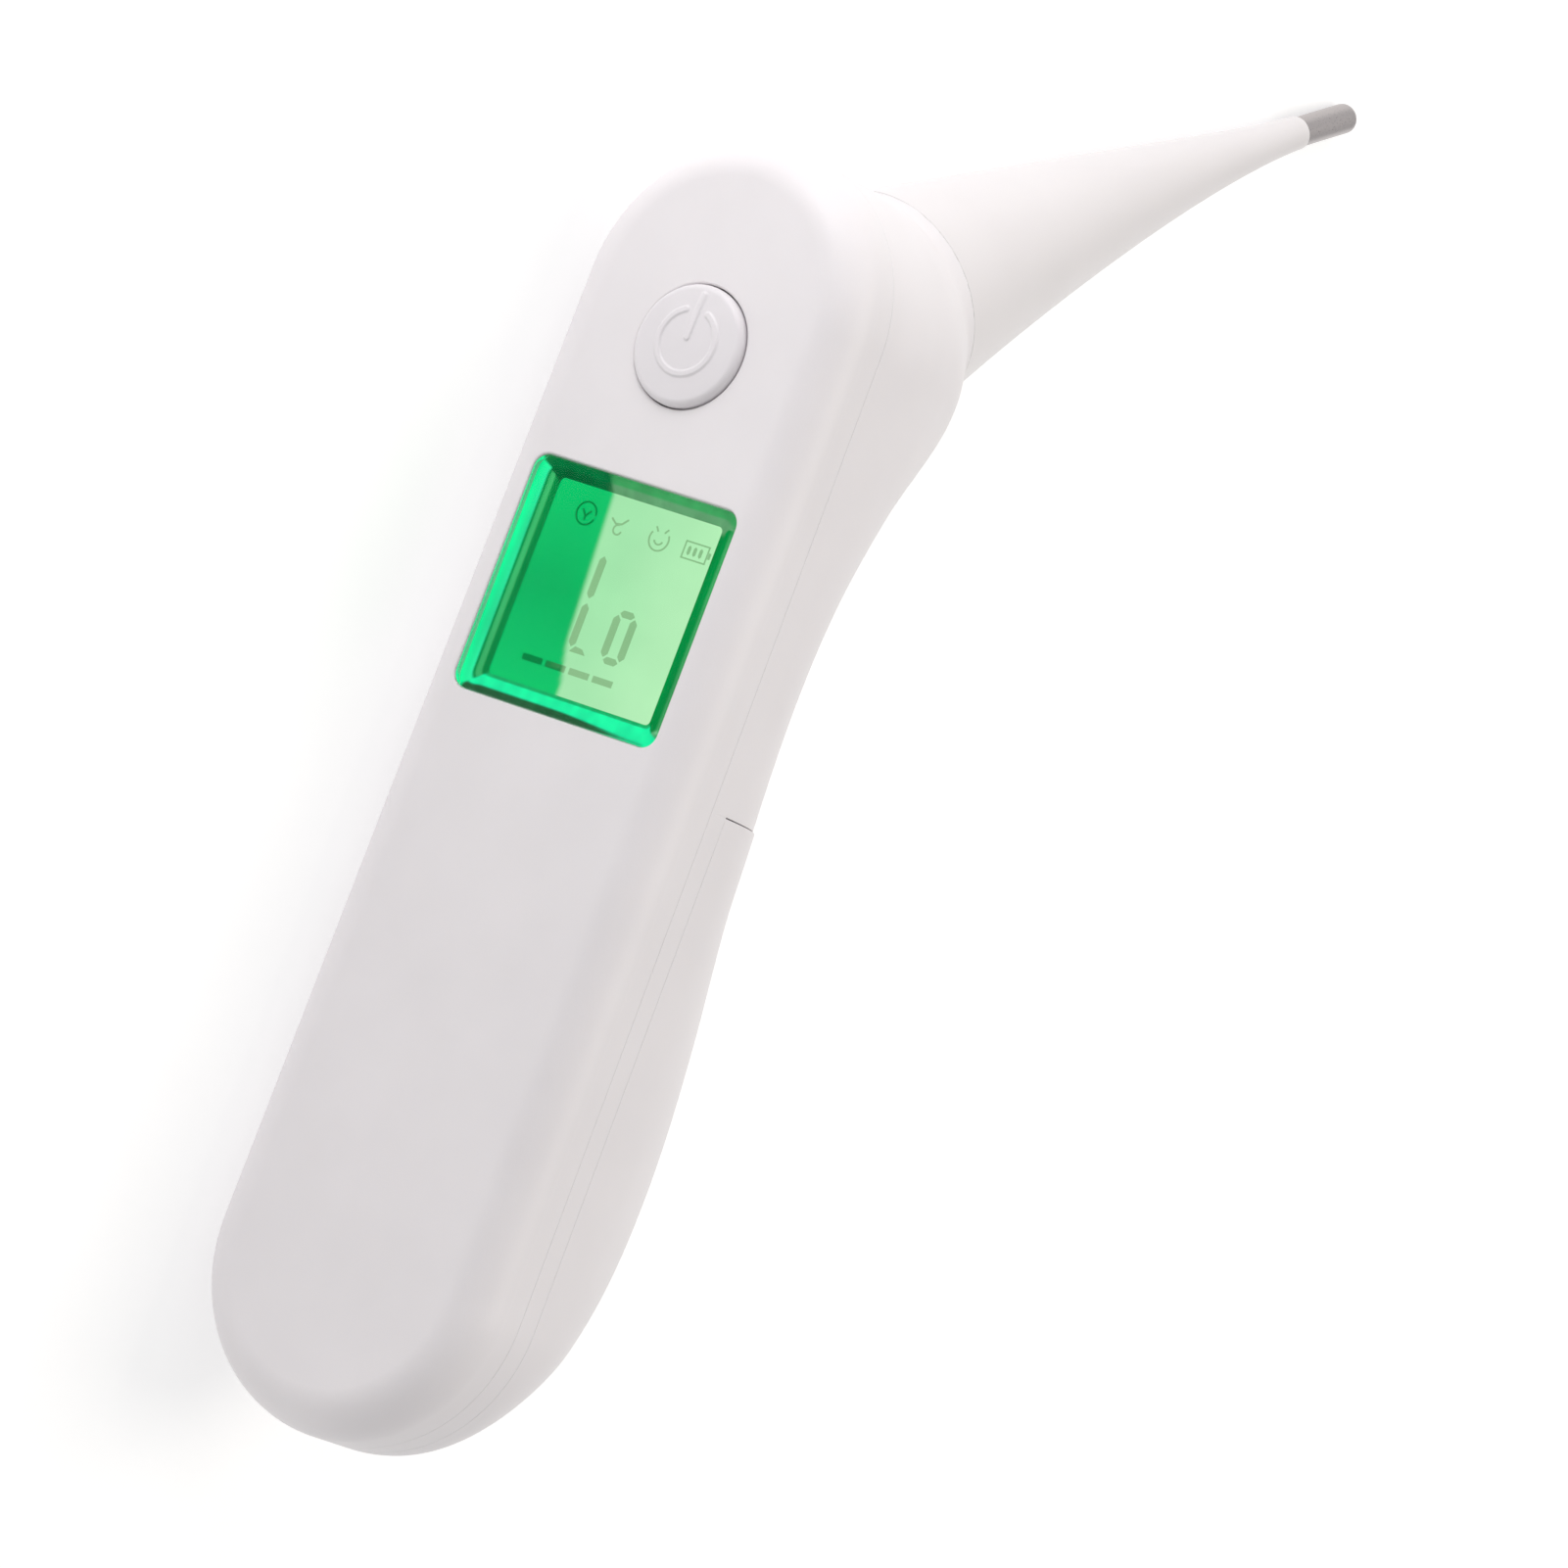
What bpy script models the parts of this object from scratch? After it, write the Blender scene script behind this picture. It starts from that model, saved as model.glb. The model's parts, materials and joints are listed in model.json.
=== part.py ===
"""A digital ear thermometer with a long tapered probe, modelled piece by piece.

Every piece is built in the thermometer's own upright directions, in metres:
    x  across the handle, to the right of someone who reads the display
    y  from the flat front face, which is the plane y = 0, towards the back
    z  up the handle, from its lower end at z = 0
At the end everything is parented to one empty that lays the thermometer down on its side,
tilted back until the tip of the probe touches the table as well.
"""

import math

import bmesh
import bpy
from mathutils import Matrix, Vector

# ---------------------------------------------------------------- driving dimensions
# Casing
HALF_WIDTH = 0.0190
BODY_LENGTH = 0.150
FRONT_EDGE_RADIUS = 0.0050
WALL = 0.0020
PARTING_Y = 0.0080
DOOR_SEAM_Y = 0.0110
DOOR_TOP_Z = 0.0785
STRAIGHT_WALL_Y = 0.0120
END_TAPER = 0.028
NECK_Z = 0.0880
BACK_ROUNDNESS = 2.2
GAP = 0.0003
# How deep the back is, along the middle of the handle: (height, depth)
BACK_DEPTH = (
    (-0.010, 0.0150),
    (0.010, 0.0252),
    (0.024, 0.0340),
    (0.037, 0.0362),
    (0.052, 0.0344),
    (0.072, 0.0288),
    (0.090, 0.0260),
    (0.103, 0.0272),
    (0.116, 0.0325),
    (0.128, 0.0395),
    (0.140, 0.0400),
    (0.165, 0.0390),
)
ARC_STEPS = 12
SIDE_STEPS = 13
BACK_RINGS = 7
FRONT_EDGE_STEPS = 4

# Screw posts inside the front half: an outer radius, a core hole and a wider mouth
POST_RADIUS = 0.0026
POST_CORE_RADIUS = 0.0010
POST_MOUTH_RADIUS = 0.0013
POST_START_Y = 0.0012
POST_MOUTH_Y = 0.0026

# Battery door: the rails along its sides, and the tongue with its block that latch it
DOOR_RAIL_THICKNESS = 0.0010
DOOR_RAIL_BOTTOM_Z = 0.0220
DOOR_RAIL_TOP_Z = 0.0740
TONGUE_HALF_WIDTH = 0.0016
TONGUE_THICKNESS = 0.0012
TONGUE_BOTTOM_Z = 0.0700
TONGUE_REACH = 0.0040
BLOCK_HALF_WIDTH = 0.0012
BLOCK_THICKNESS = 0.0026
BLOCK_BOTTOM_Z = 0.0712
BLOCK_TOP_Z = 0.0755

# Display window and power button, both centred on x = 0
WINDOW_HALF_WIDTH = 0.0141
WINDOW_BOTTOM_Z = 0.0821
WINDOW_TOP_Z = 0.1095
WINDOW_CORNER = 0.0018
BUTTON_Z = 0.1253
BUTTON_RADIUS = 0.0070
BUTTON_PROUD = 0.0012
BUTTON_TRAVEL = 0.0005
BUTTON_RIM_FRONT_Y = 0.0023
BUTTON_RIM_BACK_Y = 0.0030
BUTTON_RIM_WIDTH = 0.0013
BUTTON_STEM_RADIUS = 0.0024
BUTTON_STEM_END_Y = 0.0039
SWITCH_HALF_SIZE = 0.0030
SWITCH_FRONT_Y = 0.0052
PLUNGER_FRONT_Y = 0.0042
PLUNGER_RADIUS = 0.0016
PLUNGER_LENGTH = 0.0029
SWITCH_WELL_RADIUS = 0.0020

# Probe, whose centre line bends a little as it leaves the head
PROBE_BASE = Vector((0.0, 0.0315, 0.1402))
PROBE_BASE_ANGLE = math.radians(34.0)
PROBE_TIP = Vector((0.0, 0.1096, 0.1878))
PROBE_BEND_SHARE = 0.598
PROBE_NARROW_RADIUS = 0.0020
PROBE_SPREAD = 0.0106
PROBE_TAPER_POWER = 1.45
PROBE_FLARE = 0.0003
PROBE_FLARE_LENGTH = 0.0120
CAP_LENGTH = 0.0132
CAP_RADIUS = 0.0018
BOSS_DEPTH = 0.0080
BOSS_SPREAD = 0.0016
BOSS_HOLE_RADIUS = 0.0083
BOSS_FLOOR = 0.0030
BOSS_FACETS = 28
HOLE_PHASE = 0.37
RECESS_PHASE = 0.18
SPIGOT_RADIUS = 0.0080
SPIGOT_LENGTH = 0.0080
CLAMP_RING_RADIUS = 0.0093
CLAMP_RING_LENGTH = 0.0025
SEAL_RADIUS = 0.0091
SEAL_LENGTH = 0.0011
GROMMET_RADIUS = 0.0060
GROMMET_LENGTH = 0.0034
GROMMET_HOLE_RADIUS = 0.0008

# Batteries, two AAA cells side by side
CELL_RADIUS = 0.00525
CELL_LENGTH = 0.0437
CELL_CHAMFER = 0.0004
CELL_FACETS = 28
NUB_RADIUS = 0.0019
NUB_LENGTH = 0.0008
NUB_CHAMFER = 0.0002
CELL_X = 0.0056
CELL_Y = 0.0185
CRADLE_RADIUS = 0.0056
CRADLE_BOTTOM_Z = 0.0126
CRADLE_TOP_Z = 0.0630
SPRING_SEAT_DEPTH = 0.0010
SPRING_WIRE_RADIUS = 0.00030
SPRING_WIDE_RADIUS = 0.0036
SPRING_NARROW_RADIUS = 0.0024
CONTACT_THICKNESS = 0.0004
CONTACT_FRONT_Y = 0.0150
CONTACT_BACK_Y = 0.0218

# Battery tray and the rails that the door slides on
TRAY_FRONT_Y = 0.0108
TRAY_FLOOR_Y = 0.0122
TRAY_WALL_Y = CELL_Y
TRAY_HALF_WIDTH = 0.0145
TRAY_BOTTOM_Z = 0.0038
TRAY_TOP_Z = 0.0772
TRAY_SCREW_LOW_Z = 0.0083
TRAY_SCREW_X = 0.0098
TRAY_SCREW_HIGH_Z = 0.0708
DOOR_RAIL_INNER_X = 0.0150
DOOR_RAIL_Y = 0.0134
TRAY_CORNER = 0.0122
CRADLE_HALF_WIDTH = 0.0122
CRADLE_END_WALL = 0.0016
WEB_INNER_X = 0.0131
WEB_OUTER_X = 0.0141
WEB_BOTTOM_Z = 0.0200
WEB_TOP_Z = 0.0640
LIP_OUTER_X = 0.0158
LIP_FRONT_Y = 0.0148
LIP_BACK_Y = 0.0157
SCREW_HOLE_RADIUS = 0.0012
SCREW_HEAD_RADIUS = 0.0021
SCREW_HEAD_LENGTH = 0.0014
SCREW_SHANK_RADIUS = 0.0009
SCREW_SHANK_LENGTH = 0.0061

# Circuit board
BOARD_FRONT_Y = 0.0090
BOARD_BACK_Y = 0.0102
BOARD_HALF_WIDTH = 0.0135
BOARD_BOTTOM_Z = 0.0752
BOARD_TOP_Z = 0.1400
BOARD_SCREW_X = 0.0108
BOARD_SCREW_Z = 0.1144
BOARD_CORNER = 0.0040
BOARD_HOLE_RADIUS = 0.0014
# Parts on the back of the board: (name, left, bottom, right, top, thickness)
CHIPS = (
    ("controller_chip", -0.0060, 0.0950, 0.0040, 0.1050, 0.0016),
    ("memory_chip", 0.0062, 0.0970, 0.0101, 0.1020, 0.0012),
)
BUZZER_Z = 0.0850
LEAD_RADIUS = 0.00045
SENSOR_LEAD_RADIUS = 0.00035
BEYOND = 0.03           # how far a cutter runs past the casing

# Display: window plate, sloped bezel and liquid crystal glass
LENS_PROUD = 0.0002
LENS_BACK_Y = 0.0010
LCD_FRONT_Y = 0.0028
LCD_THICKNESS = 0.0018
LCD_HALF_SIZE = 0.0130
BEZEL_WIDTH = 0.0026
BEZEL_TOP_WIDTH = 0.0018
LIGHT_BOX_HALF_WIDTH = 0.0144
LIGHT_BOX_OVERHANG = 0.0013
GUIDE_HALF_WIDTH = 0.0112
GUIDE_HALF_HEIGHT = 0.0104
LAMP_INNER_X = 0.0116
LAMP_OUTER_X = 0.0130
LAMP_HALF_HEIGHT = 0.0016
LAMP_THICKNESS = 0.0013
STRIP_HALF_LENGTH = 0.0115
STRIP_INNER_Z = 0.0109
STRIP_OUTER_Z = 0.0129

# ---------------------------------------------------------------- colours and finishes
FINISHES = {
    "casing_white": ((0.745, 0.725, 0.735), 0.38, 0.0),
    "probe_white": ((0.860, 0.860, 0.860), 0.32, 0.0),
    "window_clear": ((0.120, 0.780, 0.400), 0.08, 0.0),
    "lcd_green": ((0.250, 0.740, 0.380), 0.15, 0.0),
    "light_box": ((0.080, 0.700, 0.330), 0.45, 0.0),
    "light_guide": ((0.640, 0.950, 0.700), 0.30, 0.0),
    "led_package": ((0.930, 0.900, 0.620), 0.35, 0.0),
    "zebra_rubber": ((0.060, 0.060, 0.065), 0.80, 0.0),
    "board_green": ((0.020, 0.190, 0.080), 0.45, 0.0),
    "chip_black": ((0.020, 0.020, 0.022), 0.55, 0.0),
    "can_metal": ((0.620, 0.620, 0.630), 0.30, 1.0),
    "tip_steel": ((0.360, 0.330, 0.330), 0.34, 1.0),
    "screw_steel": ((0.480, 0.480, 0.500), 0.35, 1.0),
    "spring_steel": ((0.660, 0.650, 0.620), 0.30, 1.0),
    "inner_plastic": ((0.560, 0.560, 0.570), 0.50, 0.0),
    "switch_black": ((0.030, 0.030, 0.032), 0.50, 0.0),
    "plunger_grey": ((0.300, 0.300, 0.310), 0.50, 0.0),
    "seal_silicone": ((0.700, 0.720, 0.740), 0.60, 0.0),
    "buzzer_brass": ((0.720, 0.520, 0.200), 0.35, 1.0),
    "cell_sleeve": ((0.160, 0.160, 0.175), 0.30, 0.4),
    "lead_red": ((0.560, 0.020, 0.015), 0.45, 0.0),
    "lead_black": ((0.015, 0.015, 0.016), 0.45, 0.0),
    "lead_grey": ((0.420, 0.420, 0.430), 0.50, 0.0),
    "bead_amber": ((0.300, 0.120, 0.030), 0.25, 0.0),
}


def clear_scene():
    for obj in list(bpy.data.objects):
        bpy.data.objects.remove(obj)


def finish(name):
    """The material of that name, made the first time that a piece asks for it."""
    material = bpy.data.materials.get(name)
    if material:
        return material
    colour, roughness, metallic = FINISHES[name]
    material = bpy.data.materials.new(name)
    material.use_nodes = True
    shader = material.node_tree.nodes["Principled BSDF"]
    shader.inputs["Base Color"].default_value = (*colour, 1.0)
    shader.inputs["Roughness"].default_value = roughness
    shader.inputs["Metallic"].default_value = metallic
    return material


def add_object(name, mesh_builder, finish_name, origin=(0, 0, 0)):
    """A smooth-shaded object from a bmesh given in upright directions, with its own origin."""
    bmesh.ops.remove_doubles(mesh_builder, verts=mesh_builder.verts, dist=1e-7)
    bmesh.ops.triangulate(mesh_builder, faces=mesh_builder.faces)
    bmesh.ops.recalc_face_normals(mesh_builder, faces=mesh_builder.faces)
    bmesh.ops.translate(mesh_builder, verts=mesh_builder.verts, vec=-Vector(origin))
    mesh = bpy.data.meshes.new(name)
    mesh_builder.to_mesh(mesh)
    mesh_builder.free()
    mesh.shade_smooth()
    mesh.set_sharp_from_angle(angle=math.radians(35))
    obj = bpy.data.objects.new(name, mesh)
    obj.location = origin
    bpy.context.scene.collection.objects.link(obj)
    if finish_name:
        obj.data.materials.append(finish(finish_name))
    return obj


def add_cutter(name, mesh_builder):
    """A helper shape that only takes part in Booleans."""
    cutter = add_object(name, mesh_builder, None)
    cutter.hide_render = True
    cutter.display_type = "WIRE"
    return cutter


def boolean(obj, other, operation):
    modifier = obj.modifiers.new(operation.lower() + "_" + other.name, "BOOLEAN")
    modifier.operation = operation
    modifier.object = other
    modifier.solver = "EXACT"


# ---------------------------------------------------------------- shape makers
def box_mesh(low, high):
    """A box between two corners."""
    builder = bmesh.new()
    middle = (Vector(low) + Vector(high)) / 2
    size = Vector(high) - Vector(low)
    place = Matrix.Translation(middle) @ Matrix.Diagonal((*size, 1))
    bmesh.ops.create_cube(builder, size=1, matrix=place)
    return builder


def plate_mesh(low, high, corner, steps=4):
    """A plate with rounded corners in x and z, as thick as the two corners are apart in y."""
    builder = bmesh.new()
    x0, y0, z0 = low
    x1, y1, z1 = high
    ring = []
    centres = ((x1 - corner, z1 - corner), (x0 + corner, z1 - corner),
               (x0 + corner, z0 + corner), (x1 - corner, z0 + corner))
    for quarter, (cx, cz) in enumerate(centres):
        for step in range(steps + 1):
            angle = (quarter + step / steps) * math.pi / 2
            ring.append(builder.verts.new((cx + corner * math.cos(angle), y0,
                                           cz + corner * math.sin(angle))))
    face = builder.faces.new(ring)
    pushed = bmesh.ops.extrude_face_region(builder, geom=[face])
    moved = [v for v in pushed["geom"] if isinstance(v, bmesh.types.BMVert)]
    bmesh.ops.translate(builder, verts=moved, vec=(0, y1 - y0, 0))
    return builder


def cross_mesh(origin, arm, half_width, height):
    """A cross-shaped prism, standing on origin along y."""
    builder = bmesh.new()
    corners = []
    for quarter in range(4):
        turn = Matrix.Rotation(quarter * math.pi / 2, 3, "Y")
        for x, z in ((arm, -half_width), (arm, half_width), (half_width, half_width)):
            corners.append(builder.verts.new(Vector(origin) + turn.inverted() @ Vector((x, 0, z))))
    face = builder.faces.new(corners)
    pushed = bmesh.ops.extrude_face_region(builder, geom=[face])
    moved = [v for v in pushed["geom"] if isinstance(v, bmesh.types.BMVert)]
    bmesh.ops.translate(builder, verts=moved, vec=(0, height, 0))
    return builder


def turned_mesh(outline, origin, direction, steps=24, phase=0.0):
    """A solid turned about the line through origin along direction.

    outline is a closed loop of (distance along the line, radius). Points on the line itself
    have radius 0. phase turns the facets, as a share of one step.
    """
    builder = bmesh.new()
    turn = Vector((0, 0, 1)).rotation_difference(Vector(direction)).to_matrix()
    rings = []
    for along, radius in outline:
        if radius == 0:
            rings.append([builder.verts.new(Vector(origin) + turn @ Vector((0, 0, along)))])
            continue
        ring = []
        for step in range(steps):
            angle = 2 * math.pi * (step + phase) / steps
            local = Vector((radius * math.cos(angle), radius * math.sin(angle), along))
            ring.append(builder.verts.new(Vector(origin) + turn @ local))
        rings.append(ring)
    skin_rings(builder, rings, loop=True)
    return builder


def skin_rings(builder, rings, loop=False):
    """Quads between neighbouring rings, and a fan where a ring is a single point."""
    pairs = list(zip(rings, rings[1:]))
    if loop:
        pairs.append((rings[-1], rings[0]))
    for first, second in pairs:
        count = max(len(first), len(second))
        for step in range(count):
            after = (step + 1) % count
            corners = [first[step % len(first)], first[after % len(first)],
                       second[after % len(second)], second[step % len(second)]]
            unique = list(dict.fromkeys(corners))
            if len(unique) > 2:
                builder.faces.new(unique)


def tube_object(name, points, radius, finish_name, rings_per_point=4):
    """A round lead or wire along a smooth curve through the points."""
    curve = bpy.data.curves.new(name, "CURVE")
    curve.dimensions = "3D"
    curve.bevel_depth = radius
    curve.bevel_resolution = 1
    curve.use_fill_caps = True
    route = smooth_route(points, rings_per_point)
    spline = curve.splines.new("POLY")
    spline.points.add(len(route) - 1)
    for point, place in zip(spline.points, route):
        point.co = (*place, 1)
    obj = bpy.data.objects.new(name, curve)
    bpy.context.scene.collection.objects.link(obj)
    curve.materials.append(finish(finish_name))
    return obj


def smooth_route(points, steps):
    """Catmull-Rom points through a short list of places."""
    places = [Vector(p) for p in points]
    padded = [2 * places[0] - places[1], *places, 2 * places[-1] - places[-2]]
    route = []
    for before, start, end, after in zip(padded, padded[1:], padded[2:], padded[3:]):
        for step in range(steps):
            t = step / steps
            route.append(0.5 * (2 * start + (end - before) * t
                                + (2 * before - 5 * start + 4 * end - after) * t ** 2
                                + (3 * start - before - 3 * end + after) * t ** 3))
    route.append(places[-1])
    return route


# ---------------------------------------------------------------- casing shape
def back_depth(z):
    """Depth of the casing's back along its middle, a smooth curve through BACK_DEPTH."""
    table = BACK_DEPTH
    index = 1
    while index < len(table) - 3 and z > table[index + 1][0]:
        index += 1
    (z0, d0), (z1, d1), (z2, d2), (z3, d3) = table[index - 1:index + 3]
    slope1 = (d2 - d0) / (z2 - z0)
    slope2 = (d3 - d1) / (z3 - z1)
    span = z2 - z1
    t = (z - z1) / span
    return ((2 * t ** 3 - 3 * t ** 2 + 1) * d1 + (t ** 3 - 2 * t ** 2 + t) * span * slope1
            + (3 * t ** 2 - 2 * t ** 3) * d2 + (t ** 3 - t ** 2) * span * slope2)


def stadium(radius):
    """Points (x, z) of the casing's outline, a stadium that is a little wider at its foot."""
    low = HALF_WIDTH
    high = BODY_LENGTH - HALF_WIDTH
    points = []
    for step in range(ARC_STEPS):
        angle = math.pi * step / ARC_STEPS
        points.append((radius * math.cos(angle), high + radius * math.sin(angle)))
    for step in range(SIDE_STEPS):
        points.append((-radius, high + (low - high) * step / SIDE_STEPS))
    for step in range(ARC_STEPS):
        angle = math.pi * (1 + step / ARC_STEPS)
        points.append((radius * math.cos(angle), low + radius * math.sin(angle)))
    for step in range(SIDE_STEPS):
        points.append((radius, low + (high - low) * step / SIDE_STEPS))
    return [(x * (1 + END_TAPER * (1 - 2 * z / BODY_LENGTH)), z) for x, z in points]


def back_y(share, z, offset):
    """Depth of the back's surface where the outline has shrunk to that share of its size."""
    reach = back_depth(z) - offset - STRAIGHT_WALL_Y
    return STRAIGHT_WALL_Y + reach * max(0.0, 1 - share ** BACK_ROUNDNESS) ** (1 / BACK_ROUNDNESS)


def close_middle(builder, ring):
    """Closes the innermost ring, which lies along the middle line, with a strip and two fans."""
    left = ring[ARC_STEPS:ARC_STEPS + SIDE_STEPS + 1]
    right_up = ring[2 * ARC_STEPS + SIDE_STEPS:] + [ring[0]]
    right = right_up[::-1]
    for step in range(SIDE_STEPS):
        builder.faces.new((left[step], left[step + 1], right[step + 1], right[step]))
    builder.faces.new(ring[:ARC_STEPS + 1])
    builder.faces.new(ring[ARC_STEPS + SIDE_STEPS:2 * ARC_STEPS + SIDE_STEPS + 1])


def back_solid(start_y, offset):
    """The back half of the casing as a closed solid, from the plane start_y to the back."""
    builder = bmesh.new()
    width = HALF_WIDTH - offset
    rings = [[builder.verts.new((x, start_y, z)) for x, z in stadium(width)]]
    for step in range(BACK_RINGS + 1):
        angle = math.pi / 2 * (step / BACK_RINGS) ** 0.9
        share = max(0.06, math.cos(angle))
        outline = stadium(width * share)
        rings.append([builder.verts.new((x, back_y(share, z, offset), z)) for x, z in outline])
    builder.faces.new(rings[0])
    skin_rings(builder, rings)
    close_middle(builder, rings[-1])
    return builder


def front_solid(end_y, offset):
    """The front half of the casing as a closed solid, from the flat front to the plane end_y."""
    builder = bmesh.new()
    width = HALF_WIDTH - offset
    edge = FRONT_EDGE_RADIUS - offset
    rings = []
    for step in range(FRONT_EDGE_STEPS + 1):
        angle = math.pi / 2 * step / FRONT_EDGE_STEPS
        outline = stadium(width - edge + edge * math.sin(angle))
        depth = offset + edge - edge * math.cos(angle)
        rings.append([builder.verts.new((x, depth, z)) for x, z in outline])
    rings.append([builder.verts.new((x, end_y, z)) for x, z in stadium(width)])
    skin_rings(builder, rings)
    builder.faces.new(rings[0])
    builder.faces.new(rings[-1])
    return builder


# ---------------------------------------------------------------- probe shape
def probe_direction():
    return Vector((0, math.cos(PROBE_BASE_ANGLE), math.sin(PROBE_BASE_ANGLE)))


def probe_line(share):
    """Point and direction of the probe's centre line, from its base (0) to its tip (1)."""
    chord = PROBE_TIP - PROBE_BASE
    bend = PROBE_BASE + probe_direction() * chord.length * PROBE_BEND_SHARE
    point = ((1 - share) ** 2 * PROBE_BASE + 2 * share * (1 - share) * bend
             + share ** 2 * PROBE_TIP)
    direction = (1 - share) * (bend - PROBE_BASE) + share * (PROBE_TIP - bend)
    return point, direction.normalized()


def probe_length():
    return (PROBE_TIP - PROBE_BASE).length


def cone_share():
    """Share of the probe's length where the white cone ends and the metal cap begins."""
    return 1 - CAP_LENGTH / probe_length()


def cone_radius(along):
    """Outer radius of the cone at a distance from its base."""
    left = max(0.0, 1 - along / (probe_length() * cone_share()))
    flare = PROBE_FLARE * math.exp(-along / PROBE_FLARE_LENGTH)
    return PROBE_NARROW_RADIUS + PROBE_SPREAD * left ** PROBE_TAPER_POWER + flare


def ring_on_line(builder, share, radius, steps, shift=0.0):
    """A ring of points square to the probe's centre line."""
    point, direction = probe_line(share)
    side = Vector((1, 0, 0))
    up = side.cross(direction)
    centre = point + direction * shift
    ring = []
    for step in range(steps):
        angle = 2 * math.pi * step / steps
        offset = side * math.cos(angle) + up * math.sin(angle)
        ring.append(builder.verts.new(centre + radius * offset))
    return ring


def tube_on_line(profile, steps, solid_end=False):
    """A closed shell along the probe: outer radii going out, then inner radii coming back.

    profile is a list of (share of the probe's length, radius, shift along the line).
    """
    builder = bmesh.new()
    rings = [ring_on_line(builder, share, radius, steps, shift)
             for share, radius, shift in profile]
    skin_rings(builder, rings, loop=not solid_end)
    if solid_end:
        builder.faces.new(rings[0])
        builder.faces.new(rings[-1])
    return builder


# ---------------------------------------------------------------- casing pieces
def make_front_shell():
    shell = add_object("front_shell", front_solid(PARTING_Y - GAP / 2, 0.0), "casing_white")
    hollow = add_cutter("front_hollow", front_solid(PARTING_Y + WALL, WALL))
    window = plate_mesh((-WINDOW_HALF_WIDTH, -WALL, WINDOW_BOTTOM_Z),
                        (WINDOW_HALF_WIDTH, 2 * WALL, WINDOW_TOP_Z), WINDOW_CORNER)
    button = turned_mesh([(-WALL, 0), (-WALL, BUTTON_RADIUS + GAP),
                          (2 * WALL, BUTTON_RADIUS + GAP), (2 * WALL, 0)],
                         (0, 0, BUTTON_Z), (0, 1, 0), 32)
    boolean(shell, hollow, "DIFFERENCE")
    boolean(shell, add_cutter("window_hole", window), "DIFFERENCE")
    boolean(shell, add_cutter("button_hole", button), "DIFFERENCE")
    for number, (x, z, top_y) in enumerate(screw_posts()):
        post = turned_mesh([(POST_START_Y, POST_CORE_RADIUS), (POST_START_Y, POST_RADIUS),
                            (top_y, POST_RADIUS), (top_y, POST_MOUTH_RADIUS),
                            (POST_MOUTH_Y, POST_MOUTH_RADIUS), (POST_MOUTH_Y, POST_CORE_RADIUS)],
                           (x, 0, z), (0, 1, 0), 12)
        boolean(shell, add_cutter(f"front_post_{number}", post), "UNION")
    return shell


def screw_posts():
    """Posts inside the front shell: (x, z, height of their open end)."""
    board = BOARD_FRONT_Y - GAP
    tray = TRAY_FRONT_Y - GAP
    return ((BOARD_SCREW_X, BOARD_SCREW_Z, board), (-BOARD_SCREW_X, BOARD_SCREW_Z, board),
            (0.0, TRAY_SCREW_LOW_Z, tray), (TRAY_SCREW_X, TRAY_SCREW_HIGH_Z, tray),
            (-TRAY_SCREW_X, TRAY_SCREW_HIGH_Z, tray))


def boss_mesh(start, end, shrink):
    """The flared neck of the head that the probe stands on, shrunk by the wall inside."""
    profile = [(start, 0.0)]
    steps = 5
    for step in range(steps + 1):
        along = start + (end - start) * step / steps
        flare = BOSS_SPREAD * max(0.0, min(1.0, -along / BOSS_DEPTH)) ** 1.4
        profile.append((along, cone_radius(0.0) + flare - shrink))
    profile.append((end, 0.0))
    phase = 0.25 if shrink else 0.5
    return turned_mesh(profile, PROBE_BASE, probe_direction(), BOSS_FACETS, phase)


def make_rear_shell():
    """The back of the casing, with a socket for the probe let into the head."""
    shell = add_object("rear_shell", back_solid(PARTING_Y + GAP / 2, 0.0), "casing_white")
    hollow = add_cutter("rear_hollow", back_solid(PARTING_Y - WALL, WALL))
    boolean(shell, hollow, "DIFFERENCE")
    boolean(shell, add_cutter("head_boss", boss_mesh(-BOSS_DEPTH, 0.0, 0.0)), "UNION")
    boss_hollow = boss_mesh(-BOSS_DEPTH - 2 * WALL, -BOSS_FLOOR, WALL)
    boolean(shell, add_cutter("boss_hollow", boss_hollow), "DIFFERENCE")
    recess_radius = cone_radius(0.0) + GAP
    for name, start, radius, phase in (
            ("probe_hole", -2 * BOSS_FLOOR, BOSS_HOLE_RADIUS, HOLE_PHASE),
            ("probe_recess", 0.0, recess_radius, RECESS_PHASE)):
        hole = turned_mesh([(start, 0), (start, radius), (BOSS_DEPTH, radius), (BOSS_DEPTH, 0)],
                           PROBE_BASE, probe_direction(), BOSS_FACETS, phase)
        boolean(shell, add_cutter(name, hole), "DIFFERENCE")
    bay = box_mesh((-BEYOND, DOOR_SEAM_Y - GAP / 2, -BEYOND),
                   (BEYOND, 2 * BEYOND, DOOR_TOP_Z + GAP / 2))
    boolean(shell, add_cutter("door_bay", bay), "DIFFERENCE")
    return shell


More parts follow.
